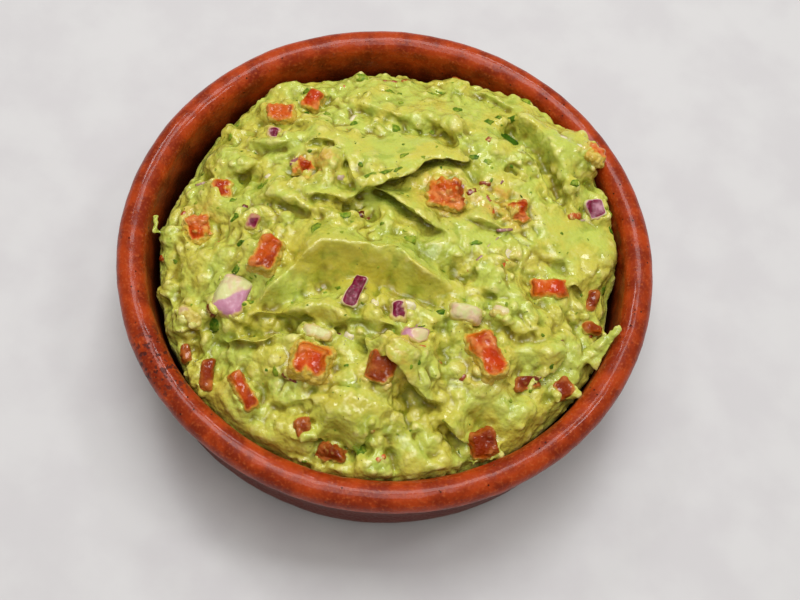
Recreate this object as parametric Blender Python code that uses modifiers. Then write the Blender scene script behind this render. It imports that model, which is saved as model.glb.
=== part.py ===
"""A heap of chunky guacamole in the shallow terracotta dish that it is served in.

The dish is one turned piece with a rolled lip.  The guacamole is one solid that fills the dish
and is heaped above it, folded and smeared as a spoon leaves it.  Each die of tomato and each
piece of red onion that lies in its surface is a solid of its own, and the guacamole is cut
round it.  Lengths are in metres, +Z is up, and the origin is on the table under the dish.
"""
import math
import random

import bmesh
import bpy
import numpy as np
from mathutils import Euler, Vector, noise
from mathutils.bvhtree import BVHTree

MM = 0.001
GAP = 0.3 * MM

# The dish, in metres.
DISH_RADIUS = 80.0 * MM
DISH_HEIGHT = 42.0 * MM
LIP_ROLL = 4.6 * MM
WALL = 6.0 * MM
FLOOR = 7.0 * MM
FOOT_RADIUS = 62.0 * MM
CORNER_HEIGHT = 17.0 * MM
WALL_LEAN = 1.4 * MM
DISH_STEPS = 52

# The heap, in metres: the height of its middle and how finely its surface is divided.
HEAP_TOP = 50.0 * MM
HEAP_STEPS = 64
HEAP_RINGS = 21
LUMP_HEIGHT = 0.9 * MM
LUMP_SIZE = 7.0 * MM

# Below the heap's edge its side has rows at these depths, and then rows at these heights in the dish.
SIDE_FALLS = (9.0 * MM, 15.0 * MM)
SKIRT_HEIGHTS = (FLOOR + 0.6 * CORNER_HEIGHT, FLOOR + 0.25 * CORNER_HEIGHT, FLOOR + GAP)

# Round the heap, every so many degrees from +X: the radius and height of its edge, in millimetres.
HEAP_EDGE = (
    (0, 65.5, 35), (9, 69.0, 37), (18, 69.0, 38), (30, 68.5, 40), (40, 71.5, 43), (50, 70.0, 41),
    (65, 69.0, 38), (76, 66.0, 38), (90, 63.5, 37), (118, 63.5, 37), (130, 67.0, 37), (145, 65.5, 36),
    (162, 63.5, 35), (180, 66.0, 34), (200, 65.5, 33), (222, 67.5, 34), (245, 68.5, 35),
    (270, 69.2, 37), (290, 69.0, 36), (302, 66.5, 34), (327, 67.0, 35), (342, 67.0, 36),
)

# The folds that the spoon left: the line of the crest from left to right as the heap is seen from
# the front, then how high it stands, how far it slopes behind and in front, how far it leans
# forward and how deep the hollow in front of it is.  All are in millimetres.
FOLDS = {
    "upper sheet": (((-27, 28), (-19, 23), (-14, 13), (-6, 14), (3, 20), (11, 26), (20, 29)),
                    4.5, 15, 2.6, 3.2, 3.5),
    "lower sheet": (((-9, 9), (-1, 11), (7, 9), (15, 5), (22, 2)), 2.0, 6, 2.2, 2.4, 3.5),
    "tongue": (((-37, -21), (-29, -14), (-21, -5), (-9, -3), (3, -4), (13, -10), (25, -15)),
               5.5, 9, 7.0, 1.0, 1.2),
    "front ridge": (((-39, -28), (-28, -25), (-16, -25), (-6, -28), (4, -33)), 3.2, 5, 4.0, 1.0, 1.5),
    "back ridge": (((20, 55), (34, 50), (45, 39), (52, 29), (58, 20)), 3.0, 8, 5.0, 0.5, 1.5),
    "right lobe": (((46, 4), (56, 2), (64, 4), (68, 12)), 2.5, 10, 2.5, 1.5, 2.5),
    "cheek": (((40, -31), (46, -29), (51, -23), (52, -16)), 3.0, 8, 2.5, 1.5, 2.0),
    "right cheek": (((50, -36), (57, -33), (61, -27), (62, -20)), 2.0, 8, 2.5, 1.0, 1.0),
    "front lobe": (((22, -53), (32, -52), (42, -51), (51, -44)), 3.0, 11, 2.5, 1.2, 2.0),
    "arch": (((-20, -60), (-10, -59), (0, -60), (6, -58)), 3.2, 9, 2.4, 1.4, 3.0),
    "left bank": (((-58, -30), (-48, -34), (-38, -36), (-28, -35)), 2.4, 7, 3.0, 0.8, 2.5),
    "far left bank": (((-58, 20), (-50, 21), (-42, 25), (-34, 26)), 2.2, 7, 3.0, 0.8, 1.5),
}

# Tomato dice and red onion: place on the heap, size, turn about the upright, lean, and how far
# the middle of the piece stands above the paste.  Millimetres and degrees.
TOMATO = {
    "tomato_far_left_low": (-40, 39, (10, 6.5, 7), 10, 12, -0.6),
    "tomato_far_left_high": (-31, 46.5, (6.5, 9, 7), -14, 8, -0.6),
    "tomato_left_upper": (-52, 10, (7.5, 7.5, 7), 12, 10, -1.2),
    "tomato_left_lower": (-56.5, -3, (9.5, 10, 6.5), 28, 10, -1.6),
    "tomato_left_wedge": (-33.5, -13, (8.5, 14, 8), -14, 6, -0.2),
    "tomato_front_cube": (-16, -43, (12.5, 12, 10), -8, 14, 1.6),
    "tomato_strip": (-33, -51.5, (4.8, 14, 7), 38, 8, 0.4),
    "tomato_small_front": (-14.5, -60, (6, 6.5, 6), 20, 10, -0.4),
    "tomato_dark": (4, -41.5, (10, 10.5, 9), -12, 12, 0.2),
    "tomato_long": (32.5, -31, (9, 17, 8), 32, 10, 0.9),
    "tomato_right": (48.5, -6, (12.5, 6.5, 7), 12, 8, 0.0),
    "tomato_under_sheet": (14, 15.5, (11.5, 10, 8), 8, 10, -1.0),
    "tomato_centre_right": (35.5, 15.5, (9, 8.5, 7), 20, 10, -1.2),
    "tomato_far_right": (56.5, 40.5, (7.5, 8, 6), 35, 4, 3.0),
    "tomato_near_lip": (35.5, -54, (9.5, 9, 8), 28, 18, -0.8),
    "tomato_at_front": (-6, -64.5, (9, 5, 6), -4, 16, -1.0),
    "tomato_left_front": (-44.5, -47, (5, 10.5, 6), 8, 14, -1.0),
    "tomato_right_edge": (56, -33.5, (6.5, 7, 6), 40, 12, -0.8),
    "tomato_edge_strip": (63, -13.5, (7, 3.6, 6), 5, 10, -0.6),
    "tomato_right_hollow": (62, -4.5, (4, 8, 5), -6, 6, -0.8),
    "tomato_left_wall": (-52, -40.5, (4, 6.5, 5), 28, 8, -1.0),
    "tomato_under_cheek": (45.5, -34.5, (9, 5, 5), 22, 8, -1.0),
    "tomato_beside_sheet": (-29, 18.5, (6.5, 8.5, 6), -10, 8, -0.8),
}
RED_ONION = {
    "red_onion_purple_bar": (-7, -20.5, (4.6, 9.6, 3.4), -14, 8, 0.7),
    "red_onion_left_big": (-41.5, -25.5, (10, 14, 5), -12, 10, 0.6),
    "red_onion_left_small": (-52.5, -31.5, (8.5, 4.4, 4.5), -24, 12, 0.0),
    "red_onion_right": (59.5, 24, (6.8, 6.8, 5), 30, 12, 0.6),
    "red_onion_centre": (6, -23.5, (5.6, 6.8, 5), 12, 12, -0.2),
    "red_onion_pink": (12, -30, (9.6, 5, 4.5), 8, 10, 0.6),
    "red_onion_white": (25, -20.5, (10, 5.8, 5), -4, 12, 0.2),
    "red_onion_pale": (35, -17.5, (6.4, 5, 4.5), -14, 10, -0.2),
    "red_onion_over_cube": (-15.5, -32.8, (9.6, 3.8, 4.5), -6, 14, -0.6),
    "red_onion_far_left": (-40.5, 30.5, (5, 4, 4), 0, 10, -0.6),
    "red_onion_dark": (-40, -1.5, (3.8, 5.6, 4), -14, 10, -0.5),
}


# ---------------------------------------------------------------------------------------------
# Small helpers


def clear_scene():
    for item in list(bpy.data.objects):
        bpy.data.objects.remove(item, do_unlink=True)


def new_collection(name):
    collection = bpy.data.collections.new(name)
    bpy.context.scene.collection.children.link(collection)
    return collection


def material(name, colour, roughness):
    made = bpy.data.materials.new(name)
    made.use_nodes = True
    shader = made.node_tree.nodes["Principled BSDF"]
    shader.inputs["Base Color"].default_value = (*colour, 1.0)
    shader.inputs["Roughness"].default_value = roughness
    shader.inputs["Metallic"].default_value = 0.0
    return made


def add_object(name, mesh, collection, finish=None):
    if finish is not None:
        mesh.materials.append(finish)
    item = bpy.data.objects.new(name, mesh)
    collection.objects.link(item)
    return item


def mesh_from(work, name):
    mesh = bpy.data.meshes.new(name)
    work.to_mesh(mesh)
    work.free()
    return mesh


# ---------------------------------------------------------------------------------------------
# The dish


def corner(start, end, steps, fullness=0.72):
    """Points on the rounded corner from a flat floor at start up to an upright wall at end."""
    points = []
    for step in range(steps + 1):
        angle = 0.5 * math.pi * step / steps
        across = math.sin(angle) ** fullness
        up = 1.0 - math.cos(angle) ** fullness
        points.append((start[0] + (end[0] - start[0]) * across,
                       start[1] + (end[1] - start[1]) * up))
    return points


def inner_wall():
    """The inside of the dish, from the middle of its floor out and up to the lip."""
    lip_radius = DISH_RADIUS - 2.0 * LIP_ROLL
    low = (FOOT_RADIUS - 1.5 * WALL, FLOOR)
    high = (lip_radius - WALL_LEAN, FLOOR + CORNER_HEIGHT)
    return [(0.0, FLOOR)] + corner(low, high, 5) + [(lip_radius, DISH_HEIGHT - LIP_ROLL)]


def outer_wall():
    """The outside of the dish, from the lip down to the rim of its flat foot."""
    body = DISH_RADIUS - 2.0 * LIP_ROLL + WALL
    return corner((FOOT_RADIUS, 0.0), (body - WALL_LEAN, CORNER_HEIGHT), 4)[::-1]


def lip(steps=7):
    """The rolled lip, from its inner side over the top to where it meets the outer wall."""
    middle = (DISH_RADIUS - LIP_ROLL, DISH_HEIGHT - LIP_ROLL)
    sweep = math.radians(245.0)
    return [(middle[0] - LIP_ROLL * math.cos(sweep * step / steps),
             middle[1] + LIP_ROLL * math.sin(sweep * step / steps)) for step in range(1, steps + 1)]


def wall_radius(height):
    """The inner radius of the dish at a height."""
    points = inner_wall()
    return float(np.interp(height, [p[1] for p in points[1:]], [p[0] for p in points[1:]]))


def make_dish(collection, finish):
    profile = inner_wall() + lip() + outer_wall() + [(0.0, 0.0)]
    work = bmesh.new()
    points = [work.verts.new((radius, 0.0, height)) for radius, height in profile]
    for first, second in zip(points, points[1:]):
        work.edges.new((first, second))
    dish = add_object("dish", mesh_from(work, "dish"), collection, finish)
    screw = dish.modifiers.new("Turned", 'SCREW')
    screw.axis = 'Z'
    screw.angle = 2.0 * math.pi
    screw.steps = DISH_STEPS
    screw.render_steps = DISH_STEPS
    screw.use_merge_vertices = True
    screw.merge_threshold = 0.00005
    screw.use_smooth_shade = True
    return dish


# ---------------------------------------------------------------------------------------------
# The heap


def smooth_path(points, steps=8):
    """A Catmull-Rom curve through the given points, as an array."""
    points = [2 * Vector(points[0]) - Vector(points[1])] + [Vector(p) for p in points] \
        + [2 * Vector(points[-1]) - Vector(points[-2])]
    path = []
    for before, start, end, after in zip(points, points[1:], points[2:], points[3:]):
        for step in range(steps):
            t = step / steps
            path.append(0.5 * (2 * start + (end - before) * t
                               + (2 * before - 5 * start + 4 * end - after) * t * t
                               + (3 * start - before - 3 * end + after) * t ** 3))
    path.append(points[-2])
    return np.array([tuple(p) for p in path])


def along_and_across(x, y, path):
    """For each place: its share of the way along a path, its distance and its signed distance.

    The signed distance is positive on the right of the path, which is in front of a crest.
    """
    near = np.full(x.shape, 1e9)
    share = np.zeros(x.shape)
    side = np.zeros(x.shape)
    lengths = np.hypot(*np.diff(path, axis=0).T)
    total = lengths.sum()
    gone = 0.0
    for start, end, length in zip(path, path[1:], lengths):
        ax, ay = (end - start) / length
        rx, ry = x - start[0], y - start[1]
        run = np.clip(rx * ax + ry * ay, 0.0, length)
        dx, dy = rx - run * ax, ry - run * ay
        away = np.hypot(dx, dy)
        closer = away < near
        near = np.where(closer, away, near)
        share = np.where(closer, (gone + run) / total, share)
        side = np.where(closer, np.sign(rx * ay - ry * ax), side)
        gone += length
    return share, near * side


def fold_moves(x, y, fold):
    """How one fold moves the paste at each place, in millimetres: forward, and up."""
    points, rise, behind, front, lean, hollow = fold
    share, across = along_and_across(x, y, smooth_path(points))
    fade = np.clip(np.sin(np.pi * np.clip(share, 0.0, 1.0)), 0.0, 1.0) ** 0.6
    width = np.where(across < 0.0, behind, front)
    crest = np.exp(-(across / width) ** 2)
    dip = np.exp(-((across - 2.0 * front) / (1.2 * front)) ** 2)
    return lean * crest * fade, (rise * crest - hollow * dip) * fade


def heap_edge(angle):
    """The radius and the height of the heap's edge at an angle in degrees, in millimetres."""
    angles = [row[0] for row in HEAP_EDGE]
    radius = np.interp(angle, angles, [row[1] for row in HEAP_EDGE], period=360.0)
    height = np.interp(angle, angles, [row[2] for row in HEAP_EDGE], period=360.0)
    return radius, height


def heap_surface(x, y):
    """Where the folded paste lies, in metres, for places x and y in millimetres."""
    radius, edge = heap_edge(np.degrees(np.arctan2(y, x)) % 360.0)
    share = np.clip(np.hypot(x, y) / radius, 0.0, 1.0)
    height = edge + (HEAP_TOP / MM - edge) * (1.0 - share ** 2.4)
    calm = np.clip((1.0 - share) / 0.12, 0.0, 1.0)
    up = np.zeros(x.shape)
    forward = np.zeros(x.shape)
    for fold in FOLDS.values():
        ahead, rise = fold_moves(x, y, fold)
        forward += ahead * calm
        up += rise * (0.35 + 0.65 * calm)
    return x * MM, (y - forward) * MM, (height + up) * MM


def lumps(place):
    """The uneven lumps of crushed avocado, a height in metres."""
    return LUMP_HEIGHT * noise.noise(place / LUMP_SIZE)


def roll_down(edge, fall):
    """A place on the side of the heap, so far below its edge and never through the dish."""
    radius = math.hypot(edge.x, edge.y)
    height = edge.z - fall
    reach = min(radius + 0.5 * fall, wall_radius(min(height, DISH_HEIGHT - LIP_ROLL)) - 2 * GAP)
    return Vector((edge.x * reach / radius, edge.y * reach / radius, height))


def skirt(way_out, angle, height):
    """A place on the underside of the heap, just clear of the dish."""
    reach = way_out * (wall_radius(height - GAP) - 1.5 * GAP)
    return Vector((reach * math.cos(angle), reach * math.sin(angle), height))


def make_heap(collection, finish):
    """A turned blank whose rings are then settled: the top into folds, the side into the dish."""
    work = bmesh.new()
    outline = [(ring / HEAP_RINGS, 0) for ring in range(HEAP_RINGS + 1)]
    outline += [(1.0, row) for row in range(1, len(SIDE_FALLS) + len(SKIRT_HEIGHTS) + 1)]
    outline += [(0.0, len(SIDE_FALLS) + len(SKIRT_HEIGHTS))]
    points = [work.verts.new((share, 0.0, -row)) for share, row in outline]
    edges = [work.edges.new(pair) for pair in zip(points, points[1:])]
    bmesh.ops.spin(work, geom=points + edges, cent=(0, 0, 0), axis=(0, 0, 1),
                   angle=2.0 * math.pi, steps=HEAP_STEPS, use_merge=True)
    bmesh.ops.remove_doubles(work, verts=work.verts, dist=0.0001)
    settle(work.verts)
    bmesh.ops.triangulate(work, faces=work.faces)
    bmesh.ops.recalc_face_normals(work, faces=work.faces)
    return add_object("guacamole", mesh_from(work, "guacamole"), collection, finish)


def settle(verts):
    """Move the points of the blank, which lie at (share of the way out, turn, -row)."""
    blank = np.array([tuple(vert.co) for vert in verts])
    share = np.hypot(blank[:, 0], blank[:, 1])
    angle = np.arctan2(blank[:, 1], blank[:, 0])
    radius, _ = heap_edge(np.degrees(angle) % 360.0)
    x, y, z = heap_surface(radius * share * np.cos(angle), radius * share * np.sin(angle))
    for vert, way_out, turn, top in zip(verts, share, angle, zip(x, y, z)):
        row = round(-vert.co.z)
        top = Vector(top)
        top.z += lumps(top)
        if row == 0:
            vert.co = top
        elif row <= len(SIDE_FALLS):
            vert.co = roll_down(top, SIDE_FALLS[row - 1])
        else:
            vert.co = skirt(way_out, turn, SKIRT_HEIGHTS[row - 1 - len(SIDE_FALLS)])


# ---------------------------------------------------------------------------------------------
# Tomato and onion


def chunk_mesh(name, size, grow=0.0):
    """A hand-cut block: a cube with its corners out of true and its edges rounded off."""
    luck = random.Random(name)
    half = [0.5 * side * MM for side in size]
    work = bmesh.new()
    bmesh.ops.create_cube(work, size=2.0)
    for vert in work.verts:
        jitter = [luck.uniform(0.82, 1.0) for _ in range(3)]
        vert.co = Vector([math.copysign(half[k] * jitter[k] + grow, vert.co[k]) for k in range(3)])
    bmesh.ops.bevel(work, geom=work.edges[:], offset=0.12 * min(size) * MM, offset_type='OFFSET',
                    segments=1, profile=0.5, affect='EDGES', material=-1, clamp_overlap=True)
    bmesh.ops.triangulate(work, faces=work.faces)
    return mesh_from(work, name)


def place_chunk(name, spec, surface, collection, finish=None, grow=0.0):
    x, y, size, turn, lean, stand = spec
    hit = surface.ray_cast(Vector((x * MM, y * MM, 1.0)), Vector((0, 0, -1)))[0]
    item = add_object(name, chunk_mesh(name, size, grow), collection, finish)
    item.location = hit + Vector((0.0, 0.0, stand * MM))
    item.rotation_euler = Euler((math.radians(lean), 0.0, math.radians(turn)))
    return item


def surface_of(item):
    work = bmesh.new()
    work.from_mesh(item.data)
    tree = BVHTree.FromBMesh(work)
    work.free()
    return tree


def cut_round(heap, cutter):
    cutter.hide_render = True
    cutter.display_type = 'WIRE'
    cut = heap.modifiers.new("Cut round " + cutter.name, 'BOOLEAN')
    cut.operation = 'DIFFERENCE'
    cut.solver = 'EXACT'
    cut.object = cutter


def main():
    clear_scene()
    parts = new_collection("guacamole_in_dish")
    cutters = new_collection("cutters")
    make_dish(parts, material("Glazed terracotta", (0.36, 0.075, 0.025), 0.25))
    heap = make_heap(parts, material("Crushed avocado", (0.47, 0.47, 0.09), 0.35))
    surface = surface_of(heap)
    tomato = material("Tomato", (0.60, 0.09, 0.03), 0.25)
    onion = material("Red onion", (0.42, 0.10, 0.16), 0.3)
    for pieces, finish in ((TOMATO, tomato), (RED_ONION, onion)):
        for name, spec in pieces.items():
            place_chunk(name, spec, surface, parts, finish)
            cutter = place_chunk(name, spec, surface, cutters, grow=GAP)
            cutter.name = name + "_cutter"
            cut_round(heap, cutter)
    heap.data.shade_smooth()


main()
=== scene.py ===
# %% [markdown]
# # Guacamole in a terracotta dish
#
# A shallow glazed dish holds a heap of chunky guacamole. The paste was folded in with a spoon, so it
# lies in sheets, tongues and lumps, with dice of tomato and red onion pressed into it. The solids of
# the model are already made and stay where they are. This lesson gives them their looks: it turns a
# finer dish, sculpts the paste, cuts the dice, strews the herbs and mixes the finishes. The frame is in
# metres. Where the paste is sculpted, millimetres are easier to think in, and MM turns them into metres.

# %% Load the fixed frame
import math
import random
import time

import bmesh
import bpy
import numpy as np
from mathutils import Euler, Matrix, Vector, noise
from mathutils.bvhtree import BVHTree


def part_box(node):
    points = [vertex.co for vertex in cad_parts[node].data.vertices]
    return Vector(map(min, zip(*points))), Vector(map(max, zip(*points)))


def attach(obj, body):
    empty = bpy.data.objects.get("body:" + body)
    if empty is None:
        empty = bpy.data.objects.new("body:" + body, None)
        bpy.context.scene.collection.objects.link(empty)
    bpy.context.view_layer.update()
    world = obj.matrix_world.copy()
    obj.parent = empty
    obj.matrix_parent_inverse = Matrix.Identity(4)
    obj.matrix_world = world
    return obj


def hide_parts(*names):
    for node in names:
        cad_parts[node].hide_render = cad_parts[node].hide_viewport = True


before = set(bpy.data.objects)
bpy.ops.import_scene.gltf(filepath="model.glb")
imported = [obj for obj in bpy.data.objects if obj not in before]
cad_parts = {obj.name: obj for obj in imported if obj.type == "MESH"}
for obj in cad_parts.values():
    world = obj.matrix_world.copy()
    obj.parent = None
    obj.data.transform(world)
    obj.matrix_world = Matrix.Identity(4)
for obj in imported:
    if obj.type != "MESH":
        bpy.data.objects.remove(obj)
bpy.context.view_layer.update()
MM = 0.001
started = time.time()

# %% [markdown]
# ## Helpers for meshes
#
# Wet food has no sharp edges and no even surface. The quickest way to get there is to let solids overlap,
# grow them together with a voxel remesh, and then move the fine points of the result: draw them towards
# their neighbours where it should be soft, and push them out along their normals where it should be
# lumpy. A mesh gives all its points at once as an array, so that such moves take well under a second.


# %% Points of a mesh as arrays
def gathered(items, what, width, kind=np.float32):
    """What the items of a mesh hold, all at once: a row for each item, so many numbers wide."""
    flat = np.empty(len(items) * width, dtype=kind)
    items.foreach_get(what, flat)
    return flat.reshape(-1, width)


def places(mesh):
    """The vertices of a mesh as an array."""
    return gathered(mesh.vertices, "co", 3).astype(float)


def place_all(mesh, spots):
    """Move every vertex of a mesh to its row of the array."""
    mesh.vertices.foreach_set("co", np.ascontiguousarray(spots, dtype=np.float32).ravel())
    mesh.update()


def outward(mesh):
    """The vertex normals of a mesh as an array."""
    return gathered(mesh.vertex_normals, "vector", 3).astype(float)


def note(mesh, name, values):
    """Keep one number for each point of a mesh, for its finish to read."""
    kept = mesh.attributes.new(name, 'FLOAT', 'POINT')
    kept.data.foreach_set("value", np.ascontiguousarray(values, dtype=np.float32))


# %% From modelling to the scene
def mesh_from(work, name):
    """The mesh of what was modelled in a bmesh."""
    mesh = bpy.data.meshes.new(name)
    work.to_mesh(mesh)
    work.free()
    return mesh


def linked(name, data):
    """An object that shows a mesh, a light or a camera in the scene."""
    item = bpy.data.objects.new(name, data)
    bpy.context.scene.collection.objects.link(item)
    return item


# %% Growing together and melting
def evaluated_copy(mesh, kind, **settings):
    """A copy of a mesh with one modifier applied."""
    item = linked("blank", mesh)
    change = item.modifiers.new(kind, kind)
    for name, value in settings.items():
        setattr(change, name, value)
    evaluated = item.evaluated_get(bpy.context.evaluated_depsgraph_get())
    fresh = bpy.data.meshes.new_from_object(evaluated)
    bpy.data.objects.remove(item, do_unlink=True)
    return fresh


def remeshed(mesh, size):
    """The same solid in even small squares, with everything that overlapped grown together."""
    return evaluated_copy(mesh, 'REMESH', mode='VOXEL', voxel_size=size, adaptivity=0.0)


def melt(mesh, rounds, pull=0.5):
    """Draw each point towards its neighbours, which rounds off lumps and creases as wet paste does."""
    one, two = gathered(mesh.edges, "vertices", 2, np.int32).T
    count = np.bincount(np.concatenate([one, two]), minlength=len(mesh.vertices))
    spots = places(mesh)
    for _ in range(rounds):
        middle = np.stack([(np.bincount(one, spots[two, k], len(spots))
                            + np.bincount(two, spots[one, k], len(spots))) / count for k in range(3)], axis=1)
        spots += pull * (middle - spots)
    place_all(mesh, spots)


def standing_out(mesh, rounds):
    """How far each point stands out of the surface round it, in millimetres."""
    calmed = mesh.copy()
    melt(calmed, rounds)
    away = ((places(mesh) - places(calmed)) * outward(calmed)).sum(axis=1) / MM
    bpy.data.meshes.remove(calmed)
    return away


# %% Uneven surfaces
def ease(value):
    """0 below 0, 1 above 1 and a smooth rise between."""
    value = np.clip(value, 0.0, 1.0)
    return value * value * (3.0 - 2.0 * value)


def waves(spots, size, shift=0.0):
    """Soft swells between about -1 and 1, each about as wide as the size."""
    return np.array([noise.noise(spot) for spot in (spots / size + shift).tolist()])


def pebbles(spots, size, shift=0.0):
    """Round pebbles of about the size: 1 on top of each and 0 in the creases between them."""
    bent = spots / size + shift
    bent = bent + 0.35 * np.stack([waves(bent, 0.8, 3.0 * k + 1.7) for k in range(3)], axis=1)
    gaps = np.array([noise.voronoi(spot)[0][:2] for spot in bent.tolist()])
    return 1.0 - (2.0 * gaps[:, 0] / gaps.sum(axis=1)) ** 2


def many(work, count):
    """One mesh with a shape repeated so many times, and the places of the shape's own points."""
    mesh = mesh_from(work, "shape")
    one = places(mesh)
    return evaluated_copy(mesh, 'ARRAY', count=count), one


def put_in_scene(name, mesh, material, slot, *replaced):
    """Show a finished mesh as a piece that rides on the only body."""
    mesh.materials.clear()
    mesh.materials.append(material)
    mesh.shade_smooth()
    piece = linked(name, mesh)
    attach(piece, "root")
    if replaced:
        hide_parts(*replaced)


# %% [markdown]
# ## Helpers for finishes
#
# A finish is a sum: so much of one colour here, so much of another there. Written as node calls, such a
# sum is hard to read, so a small class stands for one output socket and turns plus, minus and times into
# Math nodes. Everything else that a material needs comes from one method.


# %% Shader maths as Python sums
class Wire:
    """One output socket of a node, which can stand in a sum."""

    def __init__(self, finish, socket):
        self.finish, self.socket = finish, socket

    def sum(self, how, *others):
        return self.finish.node("Math", {"operation": how}, dict(enumerate(others)))

    def __add__(self, other):
        return self.sum('ADD', self, other)

    def __sub__(self, other):
        return self.sum('SUBTRACT', self, other)

    def __rsub__(self, other):
        return self.sum('SUBTRACT', other, self)

    def __mul__(self, other):
        return self.sum('MULTIPLY', self, other)

    __radd__ = __add__
    __rmul__ = __mul__


class Finish:
    """A material whose nodes are added one call at a time."""

    def __init__(self, name, **steady):
        self.material = bpy.data.materials.new(name)
        self.material.use_nodes = True
        self.tree = self.material.node_tree
        self.shader = self.tree.nodes["Principled BSDF"]
        for socket, value in steady.items():
            self.shader.inputs[socket.replace("_", " ")].default_value = value

    def node(self, kind, settings=None, sockets=None, out=0):
        """Add a node: its settings first, then the values or wires of its sockets."""
        made = self.tree.nodes.new("ShaderNode" + kind)
        for name, value in (settings or {}).items():
            setattr(made, name, value)
        for name, value in (sockets or {}).items():
            self.feed(made.inputs[name], value)
        return Wire(self, made.outputs[out])

    def feed(self, socket, value):
        if isinstance(value, Wire):
            self.tree.links.new(value.socket, socket)
        else:
            socket.default_value = value

    def wear(self, **wires):
        """Feed the shader: Base_Color, Roughness, Normal and so on."""
        for name, wire in wires.items():
            self.feed(self.shader.inputs[name.replace("_", " ")], wire)
        return self.material


# %% Colours, masks and patterns
def paint(red, green, blue):
    """A colour as the eye names it, 0 to 255, turned into light."""
    return tuple((c / 255 / 12.92 if c <= 10 else ((c / 255 + 0.055) / 1.055) ** 2.4)
                 for c in (red, green, blue)) + (1.0,)


def between(one, two, share):
    """A steady colour on the way from one to the other."""
    return tuple(a + (b - a) * share for a, b in zip(one, two))


def grey(share):
    """A mask's steady value, written as a colour."""
    return (share, share, share, 1.0)


def mix(finish, mask, under, over):
    """Colour under where the mask is 0 and colour over where it is 1."""
    return finish.node("Mix", {"data_type": 'RGBA'}, {0: mask, 6: under, 7: over}, out=2)


def step(finish, value, low, high):
    """0 below low, 1 above high and a smooth rise between."""
    return finish.node("MapRange", {"interpolation_type": 'SMOOTHSTEP'},
                       {"Value": value, "From Min": low, "From Max": high})


def own_place(finish):
    """Where each point of the piece lies, in metres."""
    return finish.node("TexCoord", out="Object")


def vector(finish, how, *values, out="Vector"):
    """One step of maths on places."""
    return finish.node("VectorMath", {"operation": how}, dict(enumerate(values)), out=out)


def noted(finish, name):
    """A number that the mesh keeps for each of its points."""
    return finish.node("Attribute", {"attribute_name": name}, out="Fac")


def cloud(finish, where, size, detail=3.0):
    """Soft noise about 0.5, with blots of the size in metres."""
    return finish.node("TexNoise", None, {"Vector": where, "Scale": 1.0 / size, "Detail": detail})


def cells(finish, where, size):
    """The distance to the nearest of many strewn points, about 0 to 1."""
    return finish.node("TexVoronoi", {"feature": 'F1'}, {"Vector": where, "Scale": 1.0 / size},
                       out="Distance")


def bump(finish, height, depth, strength=1.0):
    """A normal for relief of the depth in metres."""
    return finish.node("Bump", None, {"Strength": strength, "Distance": depth, "Height": height},
                       out="Normal")


# %% [markdown]
# ## Camera and light
#
# Food is lit from above and a little from behind, so that its wet edges catch the light and its folds
# show their depth. A broad window and the ceiling do most of the work, and the room fills the shadows.
# Three smaller lamps do little for the brightness, but they are what sparkles in wet paste and runs
# along the glazed lip. The floor is a plain pale counter, which shows off the red of the clay and takes
# a soft shadow.

# %% The camera
TARGET = Vector((5.9, -14.9, 37.4)) * MM
DISTANCE = 380.8 * MM
ELEVATION = math.radians(64.31)
ROLL = math.radians(9.59)
LENS = 58.5


def aim_camera():
    """Look down at the heap from the front, with the horizon turned a little."""
    ahead = Vector((0.0, math.cos(ELEVATION), -math.sin(ELEVATION)))
    side = Vector((1.0, 0.0, 0.0))
    up = side.cross(ahead)
    right = math.cos(ROLL) * side + math.sin(ROLL) * up
    top = math.cos(ROLL) * up - math.sin(ROLL) * side
    data = bpy.data.cameras.new("camera")
    data.sensor_width = 36.0
    data.lens = LENS
    data.clip_start = 10 * MM
    camera = linked("camera", data)
    turn = Matrix((right, top, -ahead)).transposed().to_4x4()
    camera.matrix_world = Matrix.Translation(TARGET - ahead * DISTANCE) @ turn
    bpy.context.scene.camera = camera


aim_camera()
bpy.context.scene.view_settings.view_transform = 'Standard'


# %% The floor
def lay_floor():
    """A plain pale counter with hardly a cloud in it."""
    work = bmesh.new()
    bmesh.ops.create_grid(work, x_segments=2, y_segments=2, size=3.0)
    mesh = mesh_from(work, "floor")
    floor = linked("floor", mesh)
    stone = Finish("pale counter", Roughness=0.6)
    where = own_place(stone)
    shade = step(stone, cloud(stone, where, 25 * MM, 4.0), 0.35, 0.65)
    colour = mix(stone, shade, paint(199, 198, 200), paint(205, 205, 206))
    mesh.materials.append(stone.wear(Base_Color=colour))


lay_floor()

# %% The lights
# Each light's place and size in metres and its power in watts. All of them face the dish.
LIGHTS = {
    "window": ((-0.06, 0.34, 1.20), (0.60, 0.50), 7.0),
    "ceiling": ((0.00, -0.30, 1.36), (0.70, 0.70), 5.4),
    "lamp, back left": ((-0.45, 0.60, 0.90), (0.16, 0.16), 1.3),
    "lamp, back middle": ((0.12, 0.75, 0.95), (0.16, 0.16), 1.3),
    "lamp, right": ((0.50, 0.15, 0.95), (0.16, 0.16), 1.1),
}


def hang_light(name, place, size, watts):
    data = bpy.data.lights.new(name, 'AREA')
    data.shape = 'RECTANGLE'
    data.size, data.size_y = size
    data.energy = watts
    light = linked(name, data)
    light.location = place
    light.rotation_euler = (-Vector(place)).to_track_quat('-Z', 'Y').to_euler()


for name, (place, size, watts) in LIGHTS.items():
    hang_light(name, place, size, watts)
room = bpy.data.worlds.new("room")
room.use_nodes = True
room.node_tree.nodes["Background"].inputs["Color"].default_value = (1.0, 0.90, 0.80, 1.0)
room.node_tree.nodes["Background"].inputs["Strength"].default_value = 0.29
bpy.context.scene.world = room
print("lights:", len(LIGHTS), "and the room")

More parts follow.
